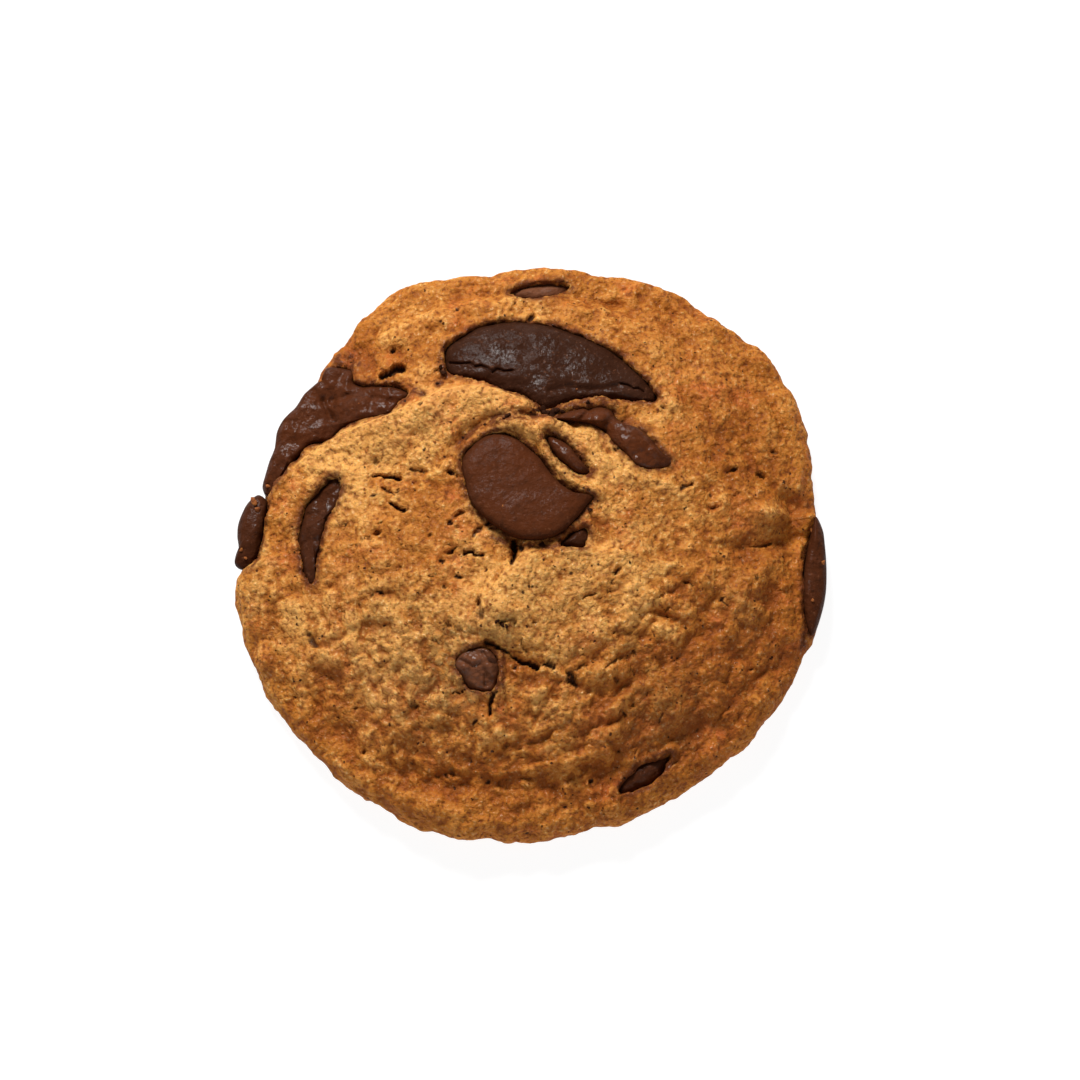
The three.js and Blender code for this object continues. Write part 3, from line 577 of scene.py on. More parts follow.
def add_mesh(name, points, quads, triangles, attributes, material):
    """A new smooth-shaded object at the origin from corners in millimetres, faces and point values."""
    mesh = bpy.data.meshes.new(name)
    faces = [tuple(f) for f in quads.tolist()] + [tuple(f) for f in triangles.tolist()]
    mesh.from_pydata(((points + BOX_SHIFT) * MM).tolist(), [], faces)
    for key, values in attributes.items():
        layer = mesh.attributes.new(key, "FLOAT", "POINT")
        layer.data.foreach_set("value", values.astype(np.float32))
    mesh.polygons.foreach_set("use_smooth", np.ones(len(mesh.polygons), bool))
    mesh.materials.append(material)
    mesh.update()
    obj = bpy.data.objects.new(name, mesh)
    bpy.context.scene.collection.objects.link(obj)
    return obj


def ball_faces(rows, around):
    """The faces of a closed ball: squares between its rows of points, and triangles to the top's and
    the bottom's own points, which come after those of the rows."""
    index = np.arange(rows * around).reshape(rows, around)
    upper, lower = index[:-1], index[1:]
    corners = (upper, lower, np.roll(lower, -1, axis=1), np.roll(upper, -1, axis=1))
    quads = np.stack(corners, axis=-1).reshape(-1, 4)
    top, bottom = rows * around, rows * around + 1
    caps = np.vstack([
        np.column_stack([np.full(around, top), index[0], np.roll(index[0], -1)]),
        np.column_stack([index[-1], np.full(around, bottom), np.roll(index[-1], -1)]),
    ])
    return quads, caps


# The dough


def disc_grid(half):
    """A square grid bent into a disc without a pole: the larger of |a| and |b| is the ring's share,
    and the smaller one over it, times 45 degrees, is the turn from the nearest axis."""
    steps = np.arange(-half, half + 1) / half
    a, b = np.meshgrid(steps, steps, indexing="ij")
    wide = np.abs(a) > np.abs(b)
    reach = np.where(wide, a, b)
    other = np.where(wide, b, a)
    safe = np.where(reach == 0, 1, reach)
    turn = np.where(wide, np.pi / 4 * other / safe, np.pi / 2 - np.pi / 4 * other / safe)
    x, y = reach * np.cos(turn), reach * np.sin(turn)
    return np.abs(reach).ravel(), np.arctan2(y, x).ravel()


def grid_quads(count):
    """The squares of a count by count grid of points, turned to face up."""
    index = np.arange(count * count).reshape(count, count)
    corners = (index[:-1, :-1], index[1:, :-1], index[1:, 1:], index[:-1, 1:])
    return np.stack([c.ravel() for c in corners], axis=1)


def fold_relief(x, y):
    """Height of all folds and creases at each place, and the sideways lean of the folds' crests. Each
    is a bell across its path: height * exp(-(distance / width)^2)."""
    height = np.zeros(x.shape)
    lean = np.zeros(x.shape + (2,))
    for path, heights, widths, leaning in FOLDS + CREASES:
        line = smooth_line(path, False, 7)
        near = near_line(x, y, line, 3.2 * max(widths))
        distance, along, side = nearest_on_line(x[near], y[near], line)
        width = np.where(side > 0, widths[0], widths[1])
        bell = np.exp(-((distance / width) ** 2))
        height[near] += between(heights, along) * bell
        if leaning:
            step = np.clip((along * (len(line) - 1)).astype(int), 0, len(line) - 2)
            run = line[step + 1] - line[step]
            left = np.stack([-run[:, 1], run[:, 0]], axis=1) / np.linalg.norm(run, axis=1)[:, None]
            eased = bell * smoothstep(along, 0, 0.1) * smoothstep(1 - along, 0, 0.1)
            lean[near] += leaning * eased[:, None] * left
    return height, lean


def scattered_pits():
    """Pits of the crust as rows of x, y, radius, depth: many small ones, closest together left of
    the middle, and the large ones."""
    draw = np.random.default_rng(PIT_SEED)
    places = [disc_places(draw, SCATTER_REACH, WIDE_PITS)]
    places += [draw.normal(middle, spread, (count, 2)) for middle, spread, count in PIT_CLUSTERS]
    places = np.vstack(places)
    radius = draw.gamma(1.4, 0.06, len(places)) + 0.13
    depth = radius * draw.uniform(1.2, 2.4, len(places))
    return np.vstack([np.column_stack([places, radius, depth]), np.array(LARGE_PITS)])


def pit_relief(x, y):
    """Depth of the pits at each place, and the painted shade on their floors: each is a steep-sided bowl
    whose rim is ragged and stretched in its own direction."""
    depth_sum = np.zeros(x.shape)
    darkness = np.zeros(x.shape)
    draw = np.random.default_rng(PIT_SEED + 1)
    ragged = roughened(0, level_points(x, y), PIT_RAGS)
    for px, py, radius, depth in scattered_pits():
        turn, stretch, shade = draw.uniform(0, np.pi), draw.uniform(1.0, 2.2), draw.uniform(0.5, 1.0)
        near = (np.abs(x - px) < 2.2 * radius * stretch) & (np.abs(y - py) < 2.2 * radius * stretch)
        if not near.any():
            continue
        ox, oy = x[near] - px, y[near] - py
        u = (ox * math.cos(turn) + oy * math.sin(turn)) / (radius * stretch)
        v = (oy * math.cos(turn) - ox * math.sin(turn)) / radius
        bowl = 1 - smoothstep(np.hypot(u, v) + ragged[near], 0.55, 1.25)
        depth_sum[near] = np.maximum(depth_sum[near], depth * bowl)
        darkness[near] = np.maximum(darkness[near], bowl * shade * min(1.0, depth / 0.5))
    return depth_sum, darkness


def scattered_slits():
    """Short torn slits in the crust, like the large cracks: each starts at a random place and takes
    a few steps in nearly the same direction, which in the lower half runs round the cookie."""
    draw = np.random.default_rng(SLIT_SEED)
    slits = []
    for _ in range(SLITS):
        spread, angle = SLIT_REACH * math.sqrt(draw.uniform()), draw.uniform(0, 2 * np.pi)
        place = np.array([spread * math.cos(angle), spread * math.sin(angle)])
        heading = draw.uniform(-0.5, 0.5) + (angle + np.pi / 2 if place[1] < -8 else 0)
        path = [place]
        for _ in range(SLIT_STEPS):
            turn = heading + draw.uniform(-0.9, 0.9)
            path.append(path[-1] + draw.uniform(0.25, 0.7) * np.array([math.cos(turn), math.sin(turn)]))
        depth = draw.uniform(0.35, 0.8)
        slits.append((path, (depth, depth), (draw.uniform(0.12, 0.22), draw.uniform(0.1, 0.2))))
    return slits


def crack_relief(x, y):
    """Depth of the cracks and the painted shade on their floors: a ragged slot along each path, depth * (1
    - smoothstep of the distance over the half-width)."""
    depth_sum = np.zeros(x.shape)
    darkness = np.zeros(x.shape)
    ragged = roughened(0, level_points(x, y), CRACK_RAGS)
    for path, depths, widths in CRACKS + scattered_slits():
        line = np.array(path)
        near = near_line(x, y, line, 2)
        distance, along, _ = nearest_on_line(x[near], y[near], line)
        slot = 1 - smoothstep((distance + ragged[near]) / between(widths, along), 0.6, 1.5)
        depth_sum[near] = np.maximum(depth_sum[near], slot * between(depths, along))
        darkness[near] = np.maximum(darkness[near], slot * min(1.0, depths[0]))
    return depth_sum, darkness


def smear_stain(x, y):
    """1 on the path of each smear of chocolate, falling off across its half-width."""
    stain = np.zeros(x.shape)
    for path, width in SMEARS:
        distance, _, _ = nearest_on_line(x, y, smooth_line(path, False, 5))
        stain = np.maximum(stain, np.exp(-((distance / width) ** 2)))
    return stain


def bells(x, y, spots):
    """The sum, over a table of spots, of strength * exp(-(distance / spread)^2)."""
    total = np.zeros(x.shape)
    for px, py, spread, strength in spots:
        total += strength * np.exp(-((np.hypot(x - px, y - py) / spread) ** 2))
    return total


def baked_light_and_shade(x, y, relief, shape):
    """How far the crust is baked, from 0 for pale to 1 for toasted, with painted light and shade mixed in:
    more towards the edge, less on the folds and more in the creases as painted light and shade, and shifted
    at the listed spots, partly by baking and partly as painted light and shade."""
    share = np.hypot(x, y) / (shape.mean_radius / MM)
    baked = BAKED_MIDDLE + BAKED_MORE * smoothstep(share, 0.35, 0.95) - 0.1 * relief - bells(x, y, BAKING_AND_PAINTED_LIGHT_SPOTS)
    return np.clip(baked + 0.22 * rough_noise(level_points(x, y), 6.5, 3, 91), 0, 1.8)


def crag_relief(points, shape):
    """Crags that run round the cookie: rounded lumps with sharp gaps between them, as the size of
    noise read in drawn-out coordinates, where a step round the edge counts half of a step outwards.
    Strongest in the lower half and near the edge."""
    x, y = points[:, 0], points[:, 1]
    radius, angle = np.hypot(x, y), np.arctan2(y, x)
    bent = 1.4 * lattice_noise(points, 5.0, 53)
    drawn = np.column_stack([radius + bent, angle * CRAG_DRAW, 0.4 * x])
    lumps = np.abs(lattice_noise(drawn, 2.6, 51)) + 0.5 * np.abs(lattice_noise(drawn, 1.2, 52)) - 0.5
    share = radius / (shape.mean_radius / MM)
    lower = smoothstep(-y, -6, 14) * smoothstep(share, 0.3, 0.55)
    upper = 0.35 * smoothstep(share, 0.6, 0.85)
    return CRAG_HEIGHT * lumps * np.clip(np.maximum(lower, upper) + 0.12, 0, 1)


def crust_lumps(points):
    """The crust's soft lumps: three layers of noise, the coarsest 5 mm."""
    return 0.55 * rough_noise(points, 5.0, 3, 11)


def crust_knobs(points):
    """Knobs of the crust that stand like pebbles side by side, at two sizes: a half less the distance
    to the nearest of scattered points, read at places that noise bends, times a strength that varies
    over the crust, plus a finer noise."""
    bent = points + 0.5 * np.column_stack([lattice_noise(points, 1.1, seed) for seed in (31, 32, 33)])
    strength = 0.8 + 0.5 * lattice_noise(points, 7.0, 37)
    knobs = sum(height * (0.5 - cell_distance(bent, size, seed)) for height, size, seed in KNOBS)
    return strength * knobs + 0.13 * lattice_noise(points, 0.62, 41)


def lip_and_pocket(x, y, height, pieces):
    """Lets the top down under each piece and raises a melted lip round it. Inside a piece's outline
    the surface drops, within half a millimetre, to just under the piece's widest line."""
    melted = np.zeros(x.shape)
    for piece in pieces.values():
        near = near_line(x, y, piece.line, 4)
        px, py, top = x[near], y[near], height[near]
        inside = distance_inside(px, py, piece.line) - piece.cover
        inside = roughened(inside, level_points(px, py, piece.level), LIP_RAGS)
        seat = piece.seat(px, py)
        floor = np.minimum(top, seat - POCKET_SHARE * piece.depth)
        drop = smoothstep(inside, -0.05, 0.4)
        lip = LIP_HEIGHT * np.exp(-(((inside + LIP_OUT) / LIP_WIDTH) ** 2)) * smoothstep(top - seat, 0, 1)
        height[near] = (top + lip) * (1 - drop) + floor * drop
        reach = np.exp(-((np.maximum(-inside, 0) / MELTED_REACH) ** 1.4))
        melted[near] = np.maximum(melted[near], reach)
    return height, melted


def dough_skin(shape):
    """The dough's upper skin on the disc grid, as corners and point values. The share of the way out,
    q, runs over the top as a height over the plane and then down a rounded edge: an upper quarter
    round, and a lower quarter drawn in under it."""
    share, angle = disc_grid(shape.grid_half)
    edge = edge_radius(angle, shape)
    rim = 1 - FLANK_SHARE
    on_top = share <= rim + 1e-9
    shoulder = edge - EDGE_ROUND
    around = np.where(on_top, 0, np.pi * (share - rim) / FLANK_SHARE)
    radius = np.where(on_top, shoulder * share / rim, 0)
    upper = around <= np.pi / 2
    radius = np.where(on_top, radius, edge - np.where(upper, EDGE_ROUND, UNDERCUT) * (1 - np.sin(around)))
    c, s = np.cos(angle), np.sin(angle)
    x, y = radius * c, radius * s
    top_x, top_y = np.minimum(radius, shoulder) * c, np.minimum(radius, shoulder) * s

    dome = dome_height(top_x, top_y, shape)
    relief, lean = fold_relief(top_x, top_y)
    top = dome + relief + crust_lumps(np.column_stack([top_x, top_y, dome]))
    top, melted = lip_and_pocket(x, y, top, seated_pieces(shape))

    rise = shape.shoulder_height / MM - EDGE_HEIGHT
    over = top - shape.shoulder_height / MM
    z_flank = EDGE_HEIGHT + np.where(upper, rise + over, EDGE_HEIGHT) * np.cos(around)
    z = np.where(on_top, top, z_flank)
    free, upright = 1 - melted, np.clip(np.cos(around), 0, 1)
    x = x + lean[:, 0] * free * upright
    y = y + lean[:, 1] * free * upright

    # Fine relief stands out along the plain form's own normal
    out = np.sin(around)
    normal = np.column_stack([out * c, out * s, np.cos(around)])
    skin = np.column_stack([x, y, z])
    knobs, crags = crust_knobs(skin), crag_relief(skin, shape)
    pits, darkness = pit_relief(x, y)
    cracks, crack_darkness = crack_relief(x, y)
    pits, darkness = np.maximum(pits, cracks), np.maximum(darkness, crack_darkness)
    covered = np.clip(melted * 1.3 - 0.3, 0, 1)
    melted = np.maximum(melted, smear_stain(x, y))
    fine = knobs * (1 - 0.4 * covered) * (1 - 0.5 * out) + crags * (1 - 0.85 * out)
    fine = fine - pits * on_top + np.where(on_top, 0, crust_lumps(skin))
    settle = np.clip(z / SETTLE_HEIGHT, 0, 1)
    skin = skin + normal * (fine * settle)[:, None]
    skin[:, 2] = np.where(share >= 1, 0, np.maximum(skin[:, 2], LOWEST_SKIN))

    # Point values for the material: the darkness of pits and cracks is painted shade on their floors, the
    # crest value paints light on crests and shade between them, and the baked value carries painted light
    # and shade besides the baking
    values = {
        "melted": melted,
        "painted_pit_shade": darkness * on_top,
        "crest": np.clip(0.5 + 0.12 * relief + 1.3 * knobs + 0.8 * crags, 0, 1),
        "flank": smoothstep(share, 0.62, 0.92),
        "baked": baked_light_and_shade(x, y, relief, shape),
        "ruddy": bells(x, y, RUDDY),
        "olive": bells(x, y, OLIVE),
    }
    return skin, values


def make_dough(shape, material):
    """The dough as one closed skin: the disc grid, and an underside of shrinking copies of its rim,
    hollowed by up to a quarter of a millimetre."""
    skin, values = dough_skin(shape)
    count = 2 * shape.grid_half + 1
    index = np.arange(count * count).reshape(count, count)
    rim = np.concatenate([index[:-1, 0], index[-1, :-1], index[:0:-1, -1], index[0, :0:-1]])
    rings = [rim]
    points = [skin]
    total = len(skin)
    for scale in UNDERSIDE_RINGS:
        ring = skin[rim] * (scale, scale, 0)
        hollow = UNDERSIDE_HOLLOW * (1 - scale) ** 0.3 * (1 + lattice_noise(ring, 6, 83)) / 2
        ring[:, 2] = hollow * smoothstep(1 - scale, 0, 0.1)
        points.append(ring)
        rings.append(np.arange(total, total + len(rim)))
        total += len(rim)
    points.append(np.array([[0, 0, 0.1]]))
    quads = [grid_quads(count)]
    for outer, inner in zip(rings, rings[1:]):
        quads.append(np.column_stack([outer, inner, np.roll(inner, -1), np.roll(outer, -1)]))
    last = rings[-1]
    cap = np.column_stack([last, np.full(len(last), total), np.roll(last, -1)])
    under = sum(len(p) for p in points[1:])
    filled = {
        key: np.concatenate([value, np.full(under, 1.0 if key == "flank" else 0.0)])
        for key, value in values.items()
    }
    return add_mesh("baked_dough", np.vstack(points), np.vstack(quads), cap, filled, material)


# The chocolate


def chocolate_points(name, piece, around, down):
    """One piece of chocolate on a grid of angle and slope, and the painted shade in its thin cracks. At
    slope t from the top's middle to the bottom's, the share out from the middle is sin(t)^0.8, and the
    height over the widest line is half the depth times (1 - share^square)^(1/square), upwards on top and
    downwards below."""
    turn = np.arange(around) / around
    slope = np.linspace(0, np.pi, down + 1)[1:-1]
    place = turn * len(piece.line)
    first = np.floor(place).astype(int)
    start, end = piece.line[first], piece.line[(first + 1) % len(piece.line)]
    arm = between((start, end), (place - first)[:, None]) - piece.heart
    share = np.sin(slope)[:, None] ** 0.8
    x = piece.heart[0] + share * arm[None, :, 0]
    y = piece.heart[1] + share * arm[None, :, 1]
    side = np.sign(np.cos(slope))[:, None]
    z = piece.seat(x, y) + side * piece.depth / 2 * (1 - share**piece.square) ** (1 / piece.square)
    points = np.column_stack([x.ravel(), y.ravel(), z.ravel()])
    seat = piece.seat(*piece.heart)
    poles = np.array([[*piece.heart, seat + piece.depth / 2], [*piece.heart, seat - piece.depth / 2]])
    points = np.vstack([points, poles])

    soft = piece.bumps * (0.2 * rough_noise(points, 3.4, 2, 101) + 0.1 * rough_noise(points, 1.2, 2, 107))
    painted_crack_shade = np.zeros(len(points))
    for path, depth, width in CHOCOLATE_CRACKS.get(name, []):
        distance, _, _ = nearest_on_line(points[:, 0], points[:, 1], np.array(path))
        groove = np.exp(-((distance / width) ** 2))
        soft = soft - depth * groove
        painted_crack_shade = np.maximum(painted_crack_shade, groove * (width < 0.25))
    upward = smoothstep(points[:, 2] - piece.seat(points[:, 0], points[:, 1]), -0.4, 0.6)
    points[:, 2] += soft * upward
    points[:, 2] = np.maximum(points[:, 2], LOWEST_CHOCOLATE)
    return points, painted_crack_shade


def make_chocolate(name, piece, material):
    """One piece of chocolate as a closed pebble or tablet, with finer faces on larger pieces."""
    span = np.ptp(piece.line, axis=0).max()
    around, down = (int(np.clip(span * per_mm, least, most)) for per_mm, least, most in CHOCOLATE_MESH)
    points, painted_crack_shade = chocolate_points(name, piece, around, down)
    quads, caps = ball_faces(down - 1, around)
    edge = np.abs(distance_inside(points[:, 0], points[:, 1], piece.line))
    values = {
        "tone": np.full(len(points), piece.tone),
        "shine": np.full(len(points), piece.shine),
        "edge": np.exp(-((edge / 0.7) ** 2)),
        "painted_crack_shade": painted_crack_shade,
    }
    return add_mesh(name + "_baked", points, quads, caps, values, material)


# Crumbs


def crumb_shape(draw, size):
    """An irregular crumb: a small ball of rings whose radius is 0.42 of the size plus, in each
    direction, 0.6 of the fourth power of how squarely the nearest of some random directions is met."""
    around, down = CRUMB_MESH
    turn = 2 * np.pi * np.arange(around) / around
    slope = np.linspace(0, np.pi, down + 1)[1:-1, None]
    across, up = np.sin(slope), np.cos(slope) + 0 * turn
    unit = np.stack([across * np.cos(turn), across * np.sin(turn), up], axis=-1)
    unit = np.vstack([unit.reshape(-1, 3), [[0, 0, 1], [0, 0, -1]]])
    lumps = draw.normal(0, 1, (CRUMB_LUMPS, 3))
    lumps /= np.linalg.norm(lumps, axis=1)[:, None]
    met = np.max(unit @ lumps.T * draw.uniform(0.6, 1.1, CRUMB_LUMPS), axis=1)
    points = unit * (size * (0.42 + 0.6 * met**4))[:, None] * (1, 1, 0.75)
    return points, *ball_faces(down - 1, around)


def surface_below(obj, places):
    """Heights in millimetres of a made object's highest surface under each place, by rays cast down."""
    heights = []
    for x, y in places:
        start = (np.array([x, y, 40.0]) + BOX_SHIFT) * MM
        hit, where, _, _ = obj.ray_cast(start.tolist(), (0, 0, -1))
        heights.append(where.z / MM if hit else 0.0)
    return heights


def make_crumbs(name, places, sizes, heights, material, seed):
    """Crumbs at the places, each sunk into what it lies on, joined in one mesh."""
    draw = np.random.default_rng(seed)
    points, quads, caps = [], [], []
    total = 0
    for (x, y), size, z in zip(places, sizes, heights):
        p, q, c = crumb_shape(draw, size)
        points.append(p + (x, y, z + CRUMB_RIDE * size))
        quads.append(q + total)
        caps.append(c + total)
        total += len(p)
    return add_mesh(name, np.vstack(points), np.vstack(quads), np.vstack(caps), {}, material)


# Materials


class Nodes:
    """A material's node tree with short ways to add and join nodes. Sizes are in metres."""

    def __init__(self, name):
        self.material = bpy.data.materials.new(name)
        self.material.use_nodes = True
        self.tree = self.material.node_tree
        self.shader = self.tree.nodes["Principled BSDF"]
        self.object_space = self.add("ShaderNodeTexCoord").outputs["Object"]

    def add(self, kind, **settings):
        """A new node with its own settings."""
        node = self.tree.nodes.new(kind)
        for key, value in settings.items():
            setattr(node, key, value)
        return node

    def feed(self, node, sockets):
        """Gives each socket its number, its colour or another node's output."""
        for key, item in sockets.items():
            socket = [s for s in node.inputs if s.name == key and s.enabled][0]
            if isinstance(item, bpy.types.NodeSocket):
                self.tree.links.new(item, socket)
            elif socket.type == "RGBA":
                socket.default_value = (*tuple(item)[:3], 1.0)
            else:
                socket.default_value = item

    def value(self, name):
        """A point value of the mesh."""
        return self.add("ShaderNodeAttribute", attribute_name=name).outputs["Fac"]

    def noise(self, size, detail=2.0, roughness=0.5, output="Fac"):
        """Noise whose features are about size metres across."""
        node = self.add("ShaderNodeTexNoise")
        values = {"Scale": 1.0 / size, "Detail": detail, "Roughness": roughness}
        self.feed(node, {"Vector": self.object_space, **values})
        return node.outputs[output]

    def cells(self, size, ragged):
        """Distance to the nearest of scattered points that lie about size metres apart, as a share of
        that size, read at places that noise moves by up to half of ragged metres."""
        colour = self.noise(size, output="Color")
        centred = self.vector("SUBTRACT", colour, (0.5, 0.5, 0.5))
        place = self.vector("MULTIPLY_ADD", centred, (ragged, ragged, ragged), self.object_space)
        node = self.add("ShaderNodeTexVoronoi")
        self.feed(node, {"Scale": 1.0 / size, "Vector": place})
        return node.outputs["Distance"]

    def spread(self, source, low, high, to_low=0.0, to_high=1.0):
        """source from low to high, carried to another range and held there."""
        node = self.add("ShaderNodeMapRange")
        ends = {"From Min": low, "From Max": high, "To Min": to_low, "To Max": to_high}
        self.feed(node, {"Value": source, **ends})
        return node.outputs["Result"]

    def combine(self, kind, output, operation, items):
        """Numbers or vectors joined by one step of arithmetic."""
        node = self.add(kind, operation=operation)
        for socket, item in zip(node.inputs, items):
            if isinstance(item, bpy.types.NodeSocket):
                self.tree.links.new(item, socket)
            else:
                socket.default_value = item
        return node.outputs[output]

    def vector(self, operation, *items):
        return self.combine("ShaderNodeVectorMath", "Vector", operation, items)

    def plus(self, first, second):
        return self.combine("ShaderNodeMath", "Value", "ADD", (first, second))

    def minus(self, first, second):
        return self.combine("ShaderNodeMath", "Value", "SUBTRACT", (first, second))

    def times(self, first, second):
        return self.combine("ShaderNodeMath", "Value", "MULTIPLY", (first, second))

    def blend(self, amount, first, second):
        """Two colours mixed by an amount; each may be a colour or a node's output."""
        node = self.add("ShaderNodeMix", data_type="RGBA")
        self.feed(node, {"Factor": amount, "A": first, "B": second})
        return [s for s in node.outputs if s.name == "Result" and s.enabled][0]

    def cover(self, colour, layers):
        """A colour with others laid over it one by one, each by its own amount."""
        for amount, other in layers:
            colour = self.blend(amount, colour, other)
        return colour

    def bump(self, height, strength, distance, under=None):
        """The surface's direction, tilted as if it rose by the height times the distance in metres."""
        node = self.add("ShaderNodeBump")
        self.feed(node, {"Strength": strength, "Distance": distance, "Height": height})
        if under is not None:
            self.feed(node, {"Normal": under})
        return node.outputs["Normal"]


def dough_material(look):
    """Baked dough: golden, darker and redder where it is baked more, stained round the chocolate, with
    painted shade between its grains and clumps, in its creases and on the floors of its pores, pits and
    cracks, painted light on its crests, pale grains that are partly sugar and partly painted glints, and a
    coat that glints."""
    n = Nodes("baked dough")
    clump = n.cells(CLUMP, 0.0008)
    beads = n.spread(n.cells(BEAD, 0.0005), 0.08, 0.75, 0.17, -0.17)
    grain = n.plus(n.noise(GRAIN, 3, 0.6), beads)

    # How far the crust is baked, in patches; lower on crests and higher between them, which paints light on
    # crests and shade between them
    baked = n.plus(n.value("baked"), n.spread(n.noise(0.0028, 4, 0.65), 0.36, 0.66, -0.3, 0.3))
    baked = n.plus(baked, n.spread(n.value("crest"), 0.1, 0.9, 0.34, -0.28))

    # Reddish and dull patches, broken up by a finer noise
    patchy = n.spread(n.noise(0.0012, 3, 0.65), 0.36, 0.58)
    ruddy = n.plus(n.spread(n.noise(0.006, 3, 0.6), 0.54, 0.68, 0.0, 0.7), n.value("ruddy"))
    ruddy, olive = n.spread(ruddy, 0.0, 1.0), n.spread(n.value("olive"), 0.0, 1.0)

    # Painted shade in the hollows between the grains and in the gaps between clumps, and pale grain tops,
    # partly sugar and partly painted glints
    painted_grain_shade = n.times(n.spread(grain, 0.46, 0.24), n.spread(baked, 0.2, 0.9, 0.34, 0.62))
    pale_grain_tops = n.times(n.spread(grain, 0.58, 0.76), n.spread(baked, 0.2, 1.0, 0.62, 0.16))
    gaps = n.plus(clump, n.spread(grain, 0.3, 0.7, 0.3, -0.3))

    # Chocolate that melted into the crust, in a stain with ragged edges
    stain = n.spread(n.noise(0.0014, 3, 0.6), 0.4, 0.54, 0.35, 1.0)
    stain = n.times(n.spread(n.value("melted"), 0.25, 0.8), stain)

    # Pores, which lie closer together and are larger in some places, with painted shade on their floors
    crowded = n.spread(n.noise(0.0019, 2, 0.5), 0.45, 0.66, -0.08, 0.17)
    torn = n.spread(n.noise(0.0003, 1, 0.5), 0.3, 0.7, -0.08, 0.08)
    pores = n.spread(n.minus(n.plus(n.cells(PORE, 0.0006), torn), crowded), 0.05, 0.0)

    colour = n.cover(look.pale, [
        # The browns below follow the baked value, which also carries painted light and shade
        (n.spread(baked, 0.0, 0.5), look.golden),
        (n.spread(baked, 0.45, 1.1), look.toasted),
        # The deep brown over baked values from 1 to 2 is partly painted shade, as on the lower right that
        # slopes away from the light
        (n.spread(baked, 1.0, 2.0), look.deep_brown_and_shade),
        (n.spread(n.value("flank"), 0.5, 1.0, 0.0, 0.5), look.edge),
        (n.times(ruddy, n.times(patchy, 0.85)), look.ruddy),
        (n.times(olive, patchy), look.olive),
        # Painted shade where the crest value is low, in the hollows between knobs and crags
        (n.spread(n.value("crest"), 0.34, 0.08, 0.0, 0.6), look.deep_brown_and_shade),
        (painted_grain_shade, look.deep_brown_and_shade),
        # Painted shade: tiny dark speckles at the grains' low points, in the stain's colour
        (n.spread(grain, 0.32, 0.21, 0.0, 0.6), look.stain),
        # Pale grain tops: partly grains of sugar, partly painted glints
        (pale_grain_tops, look.sugar_and_glint),
        # Painted shade in the gaps between clumps of grains
        (n.spread(gaps, 0.6, 1.1, 0.0, 0.5), look.deep_brown_and_shade),
        (n.times(stain, 0.95), look.stain),
        # Painted shade on the floors of the pores, and of the pits and cracks in the mesh
        (n.times(pores, 0.88), look.pit),
        (n.spread(n.value("painted_pit_shade"), 0.2, 0.9, 0.0, 0.96), look.pit),
    ])
    clumps = n.bump(clump, 1.0, -0.00028)
    grains = n.bump(grain, 1.0, 0.00036, clumps)
    holes = n.bump(n.minus(1.0, pores), 1.0, 0.0004, grains)

    # The coat glints on the grains that face the viewer, and hardly at a grazing angle
    facing = n.add("ShaderNodeLayerWeight").outputs["Facing"]
    n.feed(n.shader, {
        "Base Color": colour,
        "Roughness": n.spread(n.noise(0.0009, 2, 0.6), 0.3, 0.7, 0.6, 0.9),
        "Normal": holes,
        "Coat Normal": holes,
        "Coat Weight": n.times(n.spread(grain, 0.52, 0.7, 0.08, 0.6), n.spread(facing, 0.2, 0.6, 1.0, 0.1)),
        "Coat Roughness": 0.2,
        "Specular IOR Level": 0.08,
        "Subsurface Weight": 0.16,
        "Subsurface Radius": (1.0, 0.4, 0.12),
        "Subsurface Scale": 0.0006,
    })
    return n.material


def chocolate_material(look):
    """Melted and set chocolate: dark brown, drier and greyer in places, with painted shade in its thin
    cracks and a low gloss broken by small dents and bubbles."""
    n = Nodes("dark chocolate")
    dry = n.spread(n.noise(0.004, 4, 0.65), 0.44, 0.7)
    colour = n.cover(look.chocolate_dark, [
        (n.value("tone"), look.chocolate_warm),
        (n.spread(n.value("tone"), 1.0, 1.6), look.chocolate_worn),
        (n.times(dry, 0.22), look.chocolate_bloom),
        (n.spread(n.noise(0.00055, 2, 0.6), 0.6, 0.74, 0.0, 0.4), look.chocolate_worn),
        (n.spread(n.noise(0.0009, 3, 0.6), 0.5, 0.7, 0.0, 0.4), look.chocolate_dark),
        (n.times(n.value("edge"), 0.35), look.chocolate_dark),
        # Painted shade in the chocolate's thin cracks
        (n.spread(n.value("painted_crack_shade"), 0.3, 0.8, 0.0, 0.9), look.pit),
    ])
    some = n.spread(n.noise(0.004, 1, 0.5), 0.5, 0.6)
    bubbles = n.times(n.spread(n.cells(0.0015, 0.0008), 0.22, 0.08), some)
    soft = n.bump(n.noise(0.0016, 4, 0.6), 0.7, 0.0005)
    dents = n.bump(n.minus(1.0, bubbles), 0.6, 0.0002, soft)
    gloss = n.spread(n.noise(0.0035, 3, 0.6), 0.42, 0.64, 0.07, 0.25)
    n.feed(n.shader, {
        "Base Color": colour,
        "Roughness": n.spread(n.noise(0.0021, 3, 0.6), 0.3, 0.7, 0.55, 0.75),
        "Normal": n.bump(n.noise(0.0005, 3, 0.65), 0.8, 0.00016, dents),
        "Coat Normal": dents,
        "Coat Weight": n.times(gloss, n.value("shine")),
        "Coat Roughness": n.spread(n.value("shine"), 0.4, 1.6, 0.24, 0.12),
        "Specular IOR Level": 0.03,
    })
    return n.material


